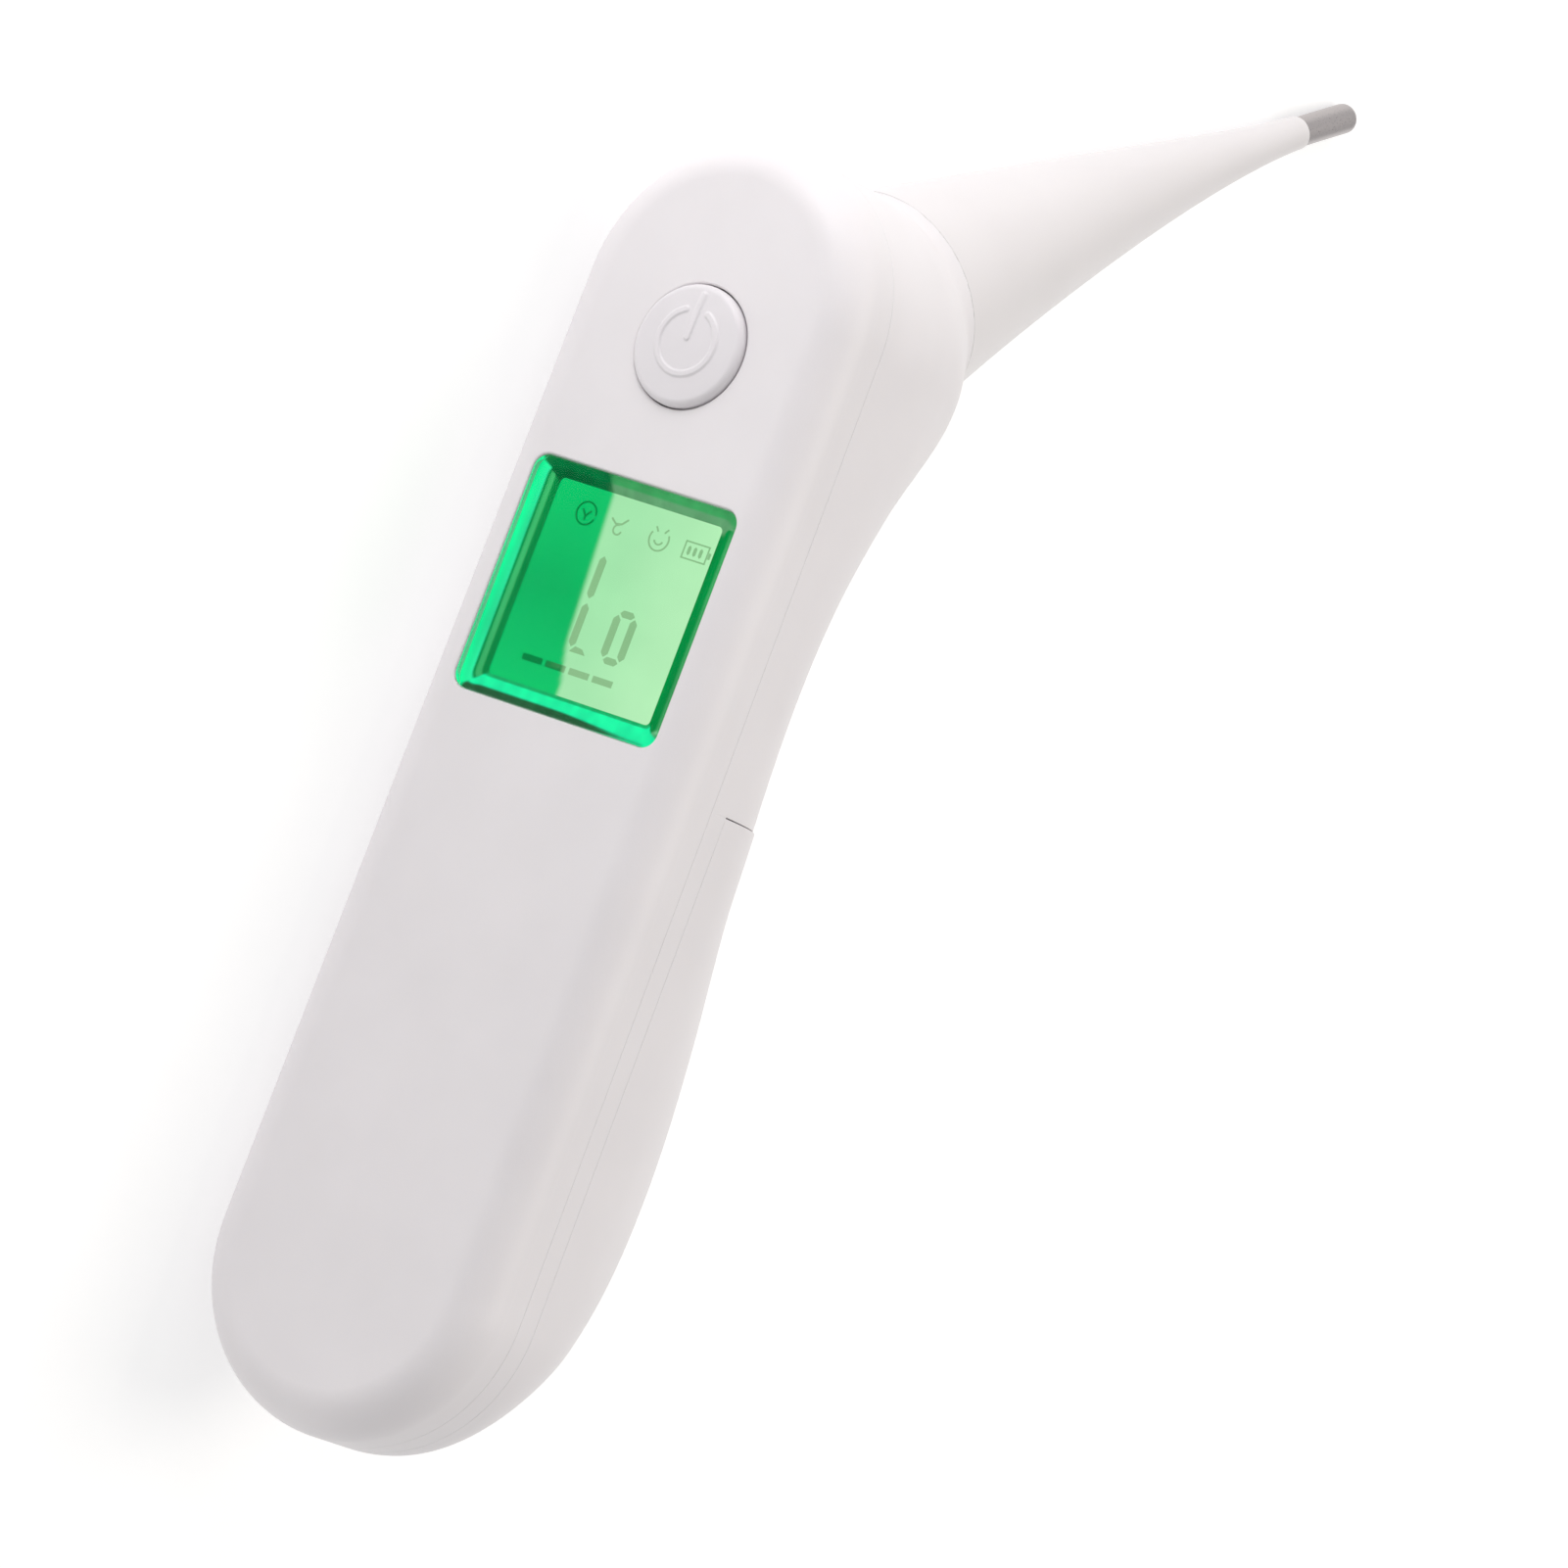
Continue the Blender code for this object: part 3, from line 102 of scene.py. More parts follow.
# Probe
PROBE_BASE = np.array((0.0, 0.0315, 0.1402))
PROBE_BASE_ANGLE = math.radians(34.0)
PROBE_TIP = np.array((0.0, 0.1096, 0.1878))
PROBE_BEND_SHARE = 0.598
PROBE_NARROW_RADIUS = 0.0020
PROBE_SPREAD = 0.0106
PROBE_TAPER_POWER = 1.45
PROBE_FLARE = 0.0003
PROBE_FLARE_LENGTH = 0.0120
CAP_LENGTH = 0.0132
CAP_RADIUS = 0.0018
CAP_WALL = 0.0003
CAP_ROUND = 0.00012     # rounding of the metal cap's open edge
CONE_ROUND = 0.0002     # rounding of the white cone's end
BOSS_DEPTH = 0.0080
BOSS_SPREAD = 0.0016
BOSS_HOLE_RADIUS = 0.0083
BOSS_HOLE_END = 0.0020
SPIGOT_RADIUS = 0.0080
SPIGOT_LENGTH = 0.0080
SPIGOT_WALL = 0.0016
BLEND = 0.0040          # how softly the head runs into the probe's socket
BLEND_FADE = 0.0060     # distance from the socket's rim over which that softness fades out
SOCKET_SHARE = 0.12     # how far along the probe the socket reaches
SOCKET_CAP = 0.0015     # the socket's length beyond its rim, before the probe's room is cut
HEAD_CENTRE = 0.022     # depth below the socket's rim of the point that the head is drawn from
HEAD_LOW_Z = 0.104      # the head is drawn out above this height
NEAREST = 0.004         # the head's surface is looked for between these distances
FARTHEST = 0.060
SOCKET_FLOOR = 0.0030   # depth below the rim at which the hollow inside the head ends
UNCAPPED = 1.0          # a depth along the probe's line that no point of the head reaches

# Window, display and button, all on the middle line of the front
WINDOW_HALF_WIDTH = 0.0141
WINDOW_BOTTOM_Z = 0.0821
WINDOW_TOP_Z = 0.1095
WINDOW_CORNER = 0.0018
WINDOW_GAP = 0.00008    # between the window and the casing, all round
WINDOW_ROUND = 0.00045  # rounding of the window's front edge
WINDOW_PROUD = 0.0002
LENS_BACK_Y = 0.0010
LCD_FRONT_Y = 0.0028
BEZEL_WIDTH = 0.0026
BEZEL_TOP_WIDTH = 0.0018
BEZEL_RIGHT_WIDTH = 0.0030
BUTTON_Z = 0.1253
BUTTON_RADIUS = 0.0070
BUTTON_PROUD = 0.0012
BUTTON_GAP = 0.00014
HOLE_ROUND = 0.00030
WINDOW_MIDDLE_Z = (WINDOW_BOTTOM_Z + WINDOW_TOP_Z) / 2
WINDOW_HALF_Z = (WINDOW_TOP_Z - WINDOW_BOTTOM_Z) / 2


def upright():
    """Turns upright directions into the frame's, from the front face's mount and the door's slide."""
    mount = next(m for m in frame["record"]["mounts"] if m["name"] == "front_face")
    slide = next(j for j in frame["joints"] if j["name"] == "battery_door_slide")
    back = -Vector(mount["axis"]).normalized()
    up = -Vector(slide["axis"]).normalized()
    right = back.cross(up)
    origin = Vector(mount["pos_m"]) - up * FRONT_FACE_MARK_Z
    matrix = Matrix((right, back, up)).transposed().to_4x4()
    matrix.translation = origin
    return matrix


UPRIGHT = upright()


# ---------------- looks
def linear(red, green, blue):
    """A colour from the usual 0 to 255 values, in the linear values that shaders take."""
    def one(value):
        value = value / 255
        return value / 12.92 if value <= 0.04045 else ((value + 0.055) / 1.055) ** 2.4
    return (one(red), one(green), one(blue), 1.0)


class Look:
    """A material and the few helpers that its nodes need."""

    def __init__(self, name, roughness=0.5, metallic=0.0):
        self.material = bpy.data.materials.new(name)
        self.material.use_nodes = True
        self.tree = self.material.node_tree
        self.shader = self.tree.nodes["Principled BSDF"]
        self.set("Roughness", roughness)
        self.set("Metallic", metallic)
        self.place = self.tree.nodes.new("ShaderNodeTexCoord").outputs["Object"]

    def set(self, socket, value):
        self.shader.inputs[socket].default_value = value

    def link(self, source, target):
        self.tree.links.new(source, target)

    def noise(self, scale, detail=3.0, stretch=(1, 1, 1)):
        """Noise whose grains measure about 1 / scale metres."""
        mapping = self.tree.nodes.new("ShaderNodeMapping")
        mapping.inputs["Scale"].default_value = stretch
        self.link(self.place, mapping.inputs["Vector"])
        noise = self.tree.nodes.new("ShaderNodeTexNoise")
        noise.inputs["Scale"].default_value = scale
        noise.inputs["Detail"].default_value = detail
        self.link(mapping.outputs["Vector"], noise.inputs["Vector"])
        return noise.outputs["Fac"]

    def ramp(self, factor, *stops):
        """Colour stops, each (position, colour)."""
        ramp = self.tree.nodes.new("ShaderNodeValToRGB")
        elements = ramp.color_ramp.elements
        while len(elements) < len(stops):
            elements.new(0.5)
        for element, (position, colour) in zip(elements, stops):
            element.position = position
            element.color = colour
        self.link(factor, ramp.inputs["Fac"])
        return ramp.outputs["Color"]

    def spread(self, factor, low, high):
        """The factor taken from 0.3 to 0.7 onto low to high."""
        node = self.tree.nodes.new("ShaderNodeMapRange")
        node.inputs["From Min"].default_value = 0.3
        node.inputs["From Max"].default_value = 0.7
        node.inputs["To Min"].default_value = low
        node.inputs["To Max"].default_value = high
        self.link(factor, node.inputs["Value"])
        return node.outputs["Result"]

    def bump(self, height, distance, strength=1.0):
        bump = self.tree.nodes.new("ShaderNodeBump")
        bump.inputs["Strength"].default_value = strength
        bump.inputs["Distance"].default_value = distance
        self.link(height, bump.inputs["Height"])
        self.link(bump.outputs["Normal"], self.shader.inputs["Normal"])

    def times(self, first, second):
        """One colour multiplied by another."""
        node = self.tree.nodes.new("ShaderNodeMix")
        node.data_type = "RGBA"
        node.blend_type = "MULTIPLY"
        node.inputs[0].default_value = 1.0
        self.link(first, node.inputs[6])
        self.link(second, node.inputs[7])
        return node.outputs[2]


def dimmed(colour, share):
    return (*(value * share for value in colour[:3]), 1.0)


def moulded_plastic(name, colour, roughness, grain=6000, depth=0.000006, variation=0.03):
    """Moulded plastic: a fine spark-eroded grain, and a faint change of tone and gloss."""
    look = Look(name, roughness)
    tone = look.noise(90, 2)
    look.link(look.ramp(tone, (0.3, dimmed(colour, 1 - variation)), (0.7, colour)),
              look.shader.inputs["Base Color"])
    fine = look.noise(grain, 2)
    look.link(look.spread(fine, roughness - 0.05, roughness + 0.05),
              look.shader.inputs["Roughness"])
    look.bump(fine, depth)
    return look


def brushed_metal(name, colour, roughness, stretch=(1, 1, 1), grain=5000, depth=0.000004):
    look = Look(name, roughness, 1.0)
    streaks = look.noise(grain, 3, stretch)
    look.link(look.ramp(streaks, (0.3, dimmed(colour, 0.86)), (0.7, colour)),
              look.shader.inputs["Base Color"])
    look.link(look.spread(streaks, roughness - 0.08, roughness + 0.08),
              look.shader.inputs["Roughness"])
    look.bump(streaks, depth)
    return look


def casing_look():
    look = moulded_plastic("casing_plastic", linear(228, 224, 226), 0.45)
    look.set("Subsurface Weight", 0.08)
    look.set("Subsurface Radius", (0.8, 0.7, 0.6))
    look.set("Subsurface Scale", 0.0012)
    return look.material


def probe_look():
    look = moulded_plastic("probe_plastic", linear(222, 218, 219), 0.36, 5200, 0.000004, 0.02)
    look.set("Subsurface Weight", 0.12)
    look.set("Subsurface Radius", (0.9, 0.85, 0.75))
    look.set("Subsurface Scale", 0.0016)
    return look.material


def window_look():
    """Clear acrylic with an anti-glare surface."""
    look = Look("window_acrylic", 0.03)
    look.link(look.ramp(look.noise(60, 2), (0.3, linear(236, 255, 244)), (0.7, linear(244, 255, 249))),
              look.shader.inputs["Base Color"])
    look.set("Transmission Weight", 1.0)
    look.set("IOR", 1.12)
    look.bump(look.noise(700, 2), 0.000001)
    return look.material


def glow_look(name, low, high, scale, stretch):
    """A lit surface whose colours are held by the mesh, with faint clouds or streaks; on the bezel and the display
    these colours include painted glow, shade and sheen.
    """
    look = Look(name, 0.6)
    colour = look.tree.nodes.new("ShaderNodeAttribute")
    colour.attribute_name = "glow"
    cloud = look.ramp(look.noise(scale, 3, stretch), (0.3, (low, low, low, 1)),
                      (0.7, (high, high, high, 1)))
    lit = look.times(colour.outputs["Color"], cloud)
    look.set("Base Color", (0.0, 0.004, 0.002, 1))
    look.link(lit, look.shader.inputs["Emission Color"])
    look.set("Emission Strength", 1.0)
    look.set("Specular IOR Level", 0.0)
    return look.material


# ---------------- mesh helpers
def smooth(value, low, high):
    """0 up to low, 1 from high on, and a soft step between."""
    t = np.clip((value - low) / (high - low), 0, 1)
    return t * t * (3 - 2 * t)


def mesh_of(name, points, faces):
    mesh = bpy.data.meshes.new(name)
    mesh.from_pydata([tuple(p) for p in points], [], faces)
    return mesh


def tidy_mesh(mesh, sharp=40.0):
    """Joins double points, turns every face outwards and shades all but the sharp edges smooth."""
    builder = bmesh.new()
    builder.from_mesh(mesh)
    bmesh.ops.remove_doubles(builder, verts=builder.verts, dist=1e-7)
    bmesh.ops.recalc_face_normals(builder, faces=builder.faces)
    builder.to_mesh(mesh)
    builder.free()
    mesh.shade_smooth()
    mesh.set_sharp_from_angle(angle=math.radians(sharp))


def add_mesh(name, points, faces, sharp=40.0):
    obj = bpy.data.objects.new(name, mesh_of(name, points, faces))
    bpy.context.scene.collection.objects.link(obj)
    tidy_mesh(obj.data, sharp)
    return obj


def dress(obj, material, body, slot, *nodes):
    """Gives a finished piece its material, its place, its body and what it stands for; the slot is not used."""
    obj.data.materials.clear()
    obj.data.materials.append(material)
    obj.data.transform(UPRIGHT)
    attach(obj, body)
    if nodes:
        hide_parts(*nodes)
    return obj


def apply_modifiers(obj):
    graph = bpy.context.evaluated_depsgraph_get()
    mesh = bpy.data.meshes.new_from_object(obj.evaluated_get(graph))
    obj.modifiers.clear()
    obj.data = mesh


def weigh_normals(obj):
    """Keeps the shading of large flat faces even beside small round ones."""
    obj.modifiers.new("weighted", "WEIGHTED_NORMAL").keep_sharp = True
    apply_modifiers(obj)


def combine(obj, other, operation, sharp=40.0):
    """Cuts other from obj, or joins it on, and removes it."""
    modifier = obj.modifiers.new("combine", "BOOLEAN")
    modifier.operation = operation
    modifier.object = other
    modifier.solver = "EXACT"
    apply_modifiers(obj)
    bpy.data.objects.remove(other)
    tidy_mesh(obj.data, sharp)


def ring_faces(count_rings, size, closed=False):
    """Quads between rings of the same size, numbered one ring after another."""
    faces = []
    last = count_rings if closed else count_rings - 1
    for ring in range(last):
        first = ring * size
        second = (ring + 1) % count_rings * size
        for step in range(size):
            after = (step + 1) % size
            faces.append((first + step, first + after, second + after, second + step))
    return faces


def capped(rings):
    """Points and faces of a solid through rings of the same size, closed at both ends."""
    size = len(rings[0])
    last = (len(rings) - 1) * size
    faces = ring_faces(len(rings), size)
    faces.append(tuple(range(size)))
    faces.append(tuple(range(last, last + size)))
    return np.concatenate(rings), faces


def turned(outline, origin, direction, steps):
    """Points and faces of a solid turned about a line, its outline being points (along, radius).

    The outline is a loop, or it starts and ends on the line itself.
    """
    spin = np.array(Vector((0, 0, 1)).rotation_difference(Vector(direction)).to_matrix())
    angles = 2 * np.pi * np.arange(steps) / steps
    unit = np.stack([np.cos(angles), np.sin(angles), np.zeros(steps)], axis=1)
    rings = [origin + (radius * unit + (0, 0, along)) @ spin.T for along, radius in outline]
    return np.concatenate(rings), ring_faces(len(rings), steps, closed=outline[0][1] > 0)


def rounded_rectangle(half_x, half_z, middle_z, corner, steps=10):
    """Points (x, z) of a rounded rectangle about the middle line."""
    points = []
    for quarter, (side_x, side_z) in enumerate(((1, 1), (-1, 1), (-1, -1), (1, -1))):
        for step in range(steps + 1):
            angle = (quarter + step / steps) * math.pi / 2
            points.append((side_x * (half_x - corner) + corner * math.cos(angle),
                           middle_z + side_z * (half_z - corner) + corner * math.sin(angle)))
    return np.array(points)


def circle(radius, middle_z, steps=96):
    angles = 2 * np.pi * np.arange(steps) / steps
    return np.stack([radius * np.cos(angles), middle_z + radius * np.sin(angles)], axis=1)


# ---------------- casing shape
def back_depth(z):
    """Depth of the back along its middle, a smooth curve through BACK_DEPTH."""
    heights = np.array([row[0] for row in BACK_DEPTH])
    depths = np.array([row[1] for row in BACK_DEPTH])
    index = np.clip(np.searchsorted(heights, z) - 1, 1, len(heights) - 3)
    z0, z1, z2, z3 = (heights[index + step] for step in (-1, 0, 1, 2))
    d0, d1, d2, d3 = (depths[index + step] for step in (-1, 0, 1, 2))
    span = z2 - z1
    slope1 = (d2 - d0) / (z2 - z0) * span
    slope2 = (d3 - d1) / (z3 - z1) * span
    t = (z - z1) / span
    return ((2 * t ** 3 - 3 * t ** 2 + 1) * d1 + (t ** 3 - 2 * t ** 2 + t) * slope1
            + (3 * t ** 2 - 2 * t ** 3) * d2 + (t ** 3 - t ** 2) * slope2)


def taper(z):
    return 1 + END_TAPER * (1 - 2 * z / BODY_LENGTH)


def side_heights():
    """Heights of the outline's points along its straight sides, from the head down."""
    edge = DOOR_SEAM / 2
    above = np.linspace(HIGH_Z, DOOR_TOP_Z + edge + CHAMFER, 48)
    seam = (DOOR_TOP_Z + edge, DOOR_TOP_Z - edge, DOOR_TOP_Z - edge - CHAMFER)
    ridges = np.linspace(RIDGE_TOP_Z + 0.0010, RIDGE_BOTTOM_Z - 0.0010, 56)
    below = np.linspace(RIDGE_BOTTOM_Z - 0.0022, LOW_Z, 40)
    return np.concatenate([above, seam, ridges, below])


SIDE_Z = side_heights()
SIDE_STEPS = len(SIDE_Z) - 1
RING = 2 * (ARC_STEPS + SIDE_STEPS)


def outline(radius):
    """Points (x, z) of the casing's outline shrunk to that radius: an arc, a side, an arc, a side."""
    angles = np.pi * np.arange(ARC_STEPS) / ARC_STEPS
    cos, sin = np.cos(angles), np.sin(angles)
    x = np.concatenate([radius * cos, np.full(SIDE_STEPS, -radius), -radius * cos,
                        np.full(SIDE_STEPS, radius)])
    z = np.concatenate([HIGH_Z + radius * sin, SIDE_Z[:-1], LOW_Z - radius * sin,
                        SIDE_Z[::-1][:-1]])
    return x * taper(z), z


def wall_ring(y, inset):
    x, z = outline(HALF_WIDTH - inset)
    return np.stack([x, np.full(RING, y), z], axis=1)


def back_ring(angle, inset):
    share = max(MIDDLE_SHARE, math.cos(angle))
    x, z = outline((HALF_WIDTH - inset) * share)
    reach = back_depth(z) - inset - STRAIGHT_WALL_Y
    y = STRAIGHT_WALL_Y + reach * (1 - share ** BACK_ROUNDNESS) ** (1 / BACK_ROUNDNESS)
    return np.stack([x, y, z], axis=1)


def probe_direction():
    return np.array((0, math.cos(PROBE_BASE_ANGLE), math.sin(PROBE_BASE_ANGLE)))


def head_field(points, inset):
    """Below zero inside the head and the socket for the probe, which run softly into each other."""
    x, y, z = points.T
    half = HALF_WIDTH - inset
    across = np.hypot(x / taper(z), np.maximum(z - HIGH_Z, 0)) / half
    deep = np.maximum(y - STRAIGHT_WALL_Y, 0) / (back_depth(z) - inset - STRAIGHT_WALL_Y)
    body = ((across ** BACK_ROUNDNESS + deep ** BACK_ROUNDNESS) ** (1 / BACK_ROUNDNESS) - 1) * half
    along = (points - PROBE_BASE) @ probe_direction()
    radial = np.linalg.norm(points - PROBE_BASE - np.outer(along, probe_direction()), axis=1)
    flare = BOSS_SPREAD * np.clip(-along / BOSS_DEPTH, 0, 1) ** 1.4
    wide = cone_radius(np.maximum(along, 0.0)) + flare - inset
    neck = np.maximum(radial - wide, along - SOCKET_CAP)
    blend = np.maximum(BLEND * np.clip(-along / BLEND_FADE, 0, 1), 1e-6)
    close = np.maximum(blend - np.abs(body - neck), 0) / blend
    return np.minimum(body, neck) - close ** 2 * blend / 4


def draw_out(points, inset, cap):
    """Moves points of the head onto the blended surface, along rays from a point deep inside."""
    centre = PROBE_BASE - HEAD_CENTRE * probe_direction()
    rays = points - centre
    rays /= np.linalg.norm(rays, axis=1)[:, None]
    near = np.full(len(points), NEAREST)
    far = np.full(len(points), FARTHEST)
    for _ in range(40):
        middle = (near + far) / 2
        places = centre + rays * middle[:, None]
        along = (places - PROBE_BASE) @ probe_direction()
        inside = (head_field(places, inset) < 0) & (along < cap)
        near = np.where(inside, middle, near)
        far = np.where(inside, far, middle)
    return centre + rays * near[:, None]


def back_surface(inset):
    """Rings of the back, from the parting plane to the middle line, and its side walls' rows."""
    edge = SEAM / 2
    heights = (PARTING_Y + edge, PARTING_Y + edge + CHAMFER, DOOR_SEAM_Y - edge - CHAMFER,
               DOOR_SEAM_Y - edge, DOOR_SEAM_Y + edge, DOOR_SEAM_Y + edge + CHAMFER)
    rings = [wall_ring(y, inset) for y in heights]
    for row in range(BACK_ROWS + 1):
        rings.append(back_ring(math.pi / 2 * row / BACK_ROWS, inset))
    points = np.concatenate(rings)
    head = (points[:, 2] > HEAD_LOW_Z) & (points[:, 1] > STRAIGHT_WALL_Y + 0.0001)
    cap = UNCAPPED if inset == 0 else -SOCKET_FLOOR
    points[head] = draw_out(points[head], inset, cap)
    return points, len(rings)


def thumb_ridges(points):
    """Presses a few rounded grooves into the back of the door, under the thumb."""
    x, y, z = points.T
    wide = smooth(RIDGE_HALF_WIDTH - np.abs(x), 0, RIDGE_FADE)
    inside = (z > RIDGE_BOTTOM_Z) & (z < RIDGE_TOP_Z) & (y > STRAIGHT_WALL_Y)
    wave = 0.5 - 0.5 * np.cos(2 * np.pi * (z - RIDGE_BOTTOM_Z) / RIDGE_PITCH)
    points[:, 1] -= RIDGE_DEPTH * wide * wave * inside
    return points


def door_step(points):
    """Lets the door's upper edge stand out a little from the casing, as a thumb hold."""
    x, y, z = points.T
    close = smooth(z, DOOR_TOP_Z - DOOR_STEP_FADE, DOOR_TOP_Z)
    close = close * np.clip((y - DOOR_SEAM_Y) / DOOR_STEP_RISE, 0, 1)
    points[:, 0] = x * (1 + close * DOOR_STEP / HALF_WIDTH)
    points[:, 1] = y + close * DOOR_STEP * (y - DOOR_SEAM_Y) / (back_depth(z) - DOOR_SEAM_Y)
    return points


def back_faces(rows, wanted_cell, wanted_middle):
    """Faces of the back where wanted_cell(row, column) says so, and across its middle line."""
    faces = []
    for row in range(rows - 1):
        for column in range(RING):
            if wanted_cell(row, column):
                after = (column + 1) % RING
                faces.append((row * RING + column, row * RING + after,
                              (row + 1) * RING + after, (row + 1) * RING + column))
    last = (rows - 1) * RING
    left = [last + ARC_STEPS + step for step in range(SIDE_STEPS + 1)]
    right = [last + -step % RING for step in range(SIDE_STEPS + 1)]
    for step in range(SIDE_STEPS):
        if wanted_middle(step):
            faces.append((right[step], left[step], left[step + 1], right[step + 1]))
    if wanted_middle(0):
        faces.append(tuple(range(last, last + ARC_STEPS + 1)))
    if wanted_middle(SIDE_STEPS - 1):
        faces.append(tuple(range(left[-1], left[-1] + ARC_STEPS + 1)))
    return faces


def closed_patch(outer, inner, faces):
    """A solid between an outer and an inner surface, with its rim's edge rounded off."""
    edges = {edge for face in faces for edge in zip(face, face[1:] + face[:1])}
    rim = [edge for edge in edges if edge[::-1] not in edges]
    rim_points = sorted({point for edge in rim for point in edge})
    outer = outer.copy()
    inward = inner[rim_points] - outer[rim_points]
    inward /= np.linalg.norm(inward, axis=1)[:, None]
    outer[rim_points] += CHAMFER * inward
    used = sorted({point for face in faces for point in face})
    number = {point: index for index, point in enumerate(used)}
    count = len(used)
    points = np.concatenate([outer[used], inner[used]])
    solid = [tuple(number[p] for p in face) for face in faces]
    solid += [tuple(count + number[p] for p in reversed(face)) for face in faces]
    solid += [(number[b], number[a], count + number[a], count + number[b]) for a, b in sorted(rim)]
    return points, solid


SEAM_ROW = 3            # the row of the back's side wall that the rear casing ends on


def step_heights(pick):
    """Heights of the steps round the outline, each the pick of its two ends."""
    z = outline(HALF_WIDTH)[1]
    return pick(z, np.roll(z, -1))


# ---------------- casing pieces
def make_casing_rear(material):
    outer, rows = back_surface(0.0)
    inner, _ = back_surface(WALL)
    head = step_heights(np.minimum) > DOOR_TOP_Z
    faces = back_faces(rows, lambda row, column: row < SEAM_ROW or head[column],
                       lambda step: SIDE_Z[step + 1] > DOOR_TOP_Z)
    obj = add_mesh("casing_rear", *closed_patch(outer, inner, faces))
    room = [ring_on_line(share, cone_radius(share * PROBE_LENGTH) + SEAM, 192)
            for share in np.linspace(0.0, SOCKET_SHARE, 9)]
    combine(obj, add_mesh("probe_room", *capped(room)), "DIFFERENCE")
    low, high = -2 * SOCKET_FLOOR, BOSS_HOLE_END
    hole = [(low, 0), (low, BOSS_HOLE_RADIUS), (high, BOSS_HOLE_RADIUS), (high, 0)]
    combine(obj, add_mesh("spigot_hole", *turned(hole, PROBE_BASE, probe_direction(), 128)),
            "DIFFERENCE")
    weigh_normals(obj)
    return dress(obj, material, "housing", "casing_white", "rear_shell")


def make_battery_cover(material):
    outer, rows = back_surface(0.0)
    inner, _ = back_surface(WALL)
    outer = thumb_ridges(door_step(outer))
    door = step_heights(np.maximum) < DOOR_TOP_Z
    faces = back_faces(rows, lambda row, column: row > SEAM_ROW and door[column],
                       lambda step: SIDE_Z[step] < DOOR_TOP_Z)
    obj = add_mesh("battery_cover", *closed_patch(outer, inner, faces))
    for part in door_fittings():
        combine(obj, part, "UNION")
    weigh_normals(obj)
    return dress(obj, material, "battery_door", "casing_white", "battery_door")


def door_fittings():
    """The two rails and the latch tongue inside the door."""
    fittings = []
    for left, right in ((-RAIL_OUTER_X, -RAIL_INNER_X), (RAIL_INNER_X, RAIL_OUTER_X)):
        fittings.append(box_object("rail", (left, RAIL_Y, RAIL_BOTTOM_Z),
                                   (right, RAIL_Y + 0.0010, RAIL_TOP_Z)))
    back = float(back_depth(np.array([NECK_Z]))[0]) - WALL - CLEARANCE
    for name, half_x, front, rear, low, high in (
            ("tongue", 0.0016, TONGUE_THICKNESS, 0.0, TONGUE_LOW_Z, TONGUE_HIGH_Z),
            ("block", 0.0012, TONGUE_THICKNESS / 2, BLOCK_THICKNESS, BLOCK_LOW_Z, BLOCK_HIGH_Z)):
        fittings.append(box_object(name, (-half_x, back - front, low), (half_x, back + rear, high)))
    return fittings


def box_object(name, low, high):
    corners = [(x, y, z) for x in (low[0], high[0]) for y in (low[1], high[1])
               for z in (low[2], high[2])]
    faces = [(0, 1, 3, 2), (4, 6, 7, 5), (0, 4, 5, 1), (2, 3, 7, 6), (0, 2, 6, 4), (1, 5, 7, 3)]
    return add_mesh(name, corners, faces)


def front_surface(inset):
    """Rings of the front half, from the parting plane round the front edge to the flat face."""
    edge = FRONT_EDGE_RADIUS - inset
    width = HALF_WIDTH - inset
    last_y = PARTING_Y - SEAM / 2
    rings = [wall_ring(last_y, inset)]
    if inset == 0:
        rings = [wall_ring(last_y, CHAMFER), wall_ring(last_y - CHAMFER, 0)]
    for step in range(FRONT_EDGE_ROWS + 1):
        angle = math.pi / 2 * (1 - step / FRONT_EDGE_ROWS)
        radius = width - edge + edge * math.sin(angle)
        rings.append(wall_ring(inset + edge - edge * math.cos(angle), HALF_WIDTH - radius))
    return rings


def make_casing_front(material):
    """The front half: a wall, a round edge and a flat face with two soft-edged holes."""
    rings = front_surface(0.0)[::-1] + front_surface(WALL)
    obj = add_mesh("casing_front", *capped(rings))
    combine(obj, soft_cutter("window_cutter", window_outline), "DIFFERENCE")
    combine(obj, soft_cutter("button_cutter", button_outline), "DIFFERENCE")
    weigh_normals(obj)
    return dress(obj, material, "housing", "casing_white", "front_shell")


def window_outline(grow):
    return rounded_rectangle(WINDOW_HALF_WIDTH + grow, WINDOW_HALF_Z + grow, WINDOW_MIDDLE_Z,
                             WINDOW_CORNER + grow)


def button_outline(grow):
    return circle(BUTTON_RADIUS + BUTTON_GAP + grow, BUTTON_Z)


def soft_cutter(name, outline_at):
    """A cutter through the front face that leaves the hole's edge rounded."""
    rings = [flat_points(outline_at(HOLE_ROUND), -WALL)]
    for step in range(6):
        angle = math.pi / 2 * step / 5
        rings.append(flat_points(outline_at(HOLE_ROUND * (1 - math.sin(angle))),
                                 HOLE_ROUND * (1 - math.cos(angle))))
    rings.append(flat_points(outline_at(0.0), 2 * WALL))
    return add_mesh(name, *capped(rings))


def flat_points(outline_points, y):
    return np.array([(x, y, z) for x, z in outline_points])


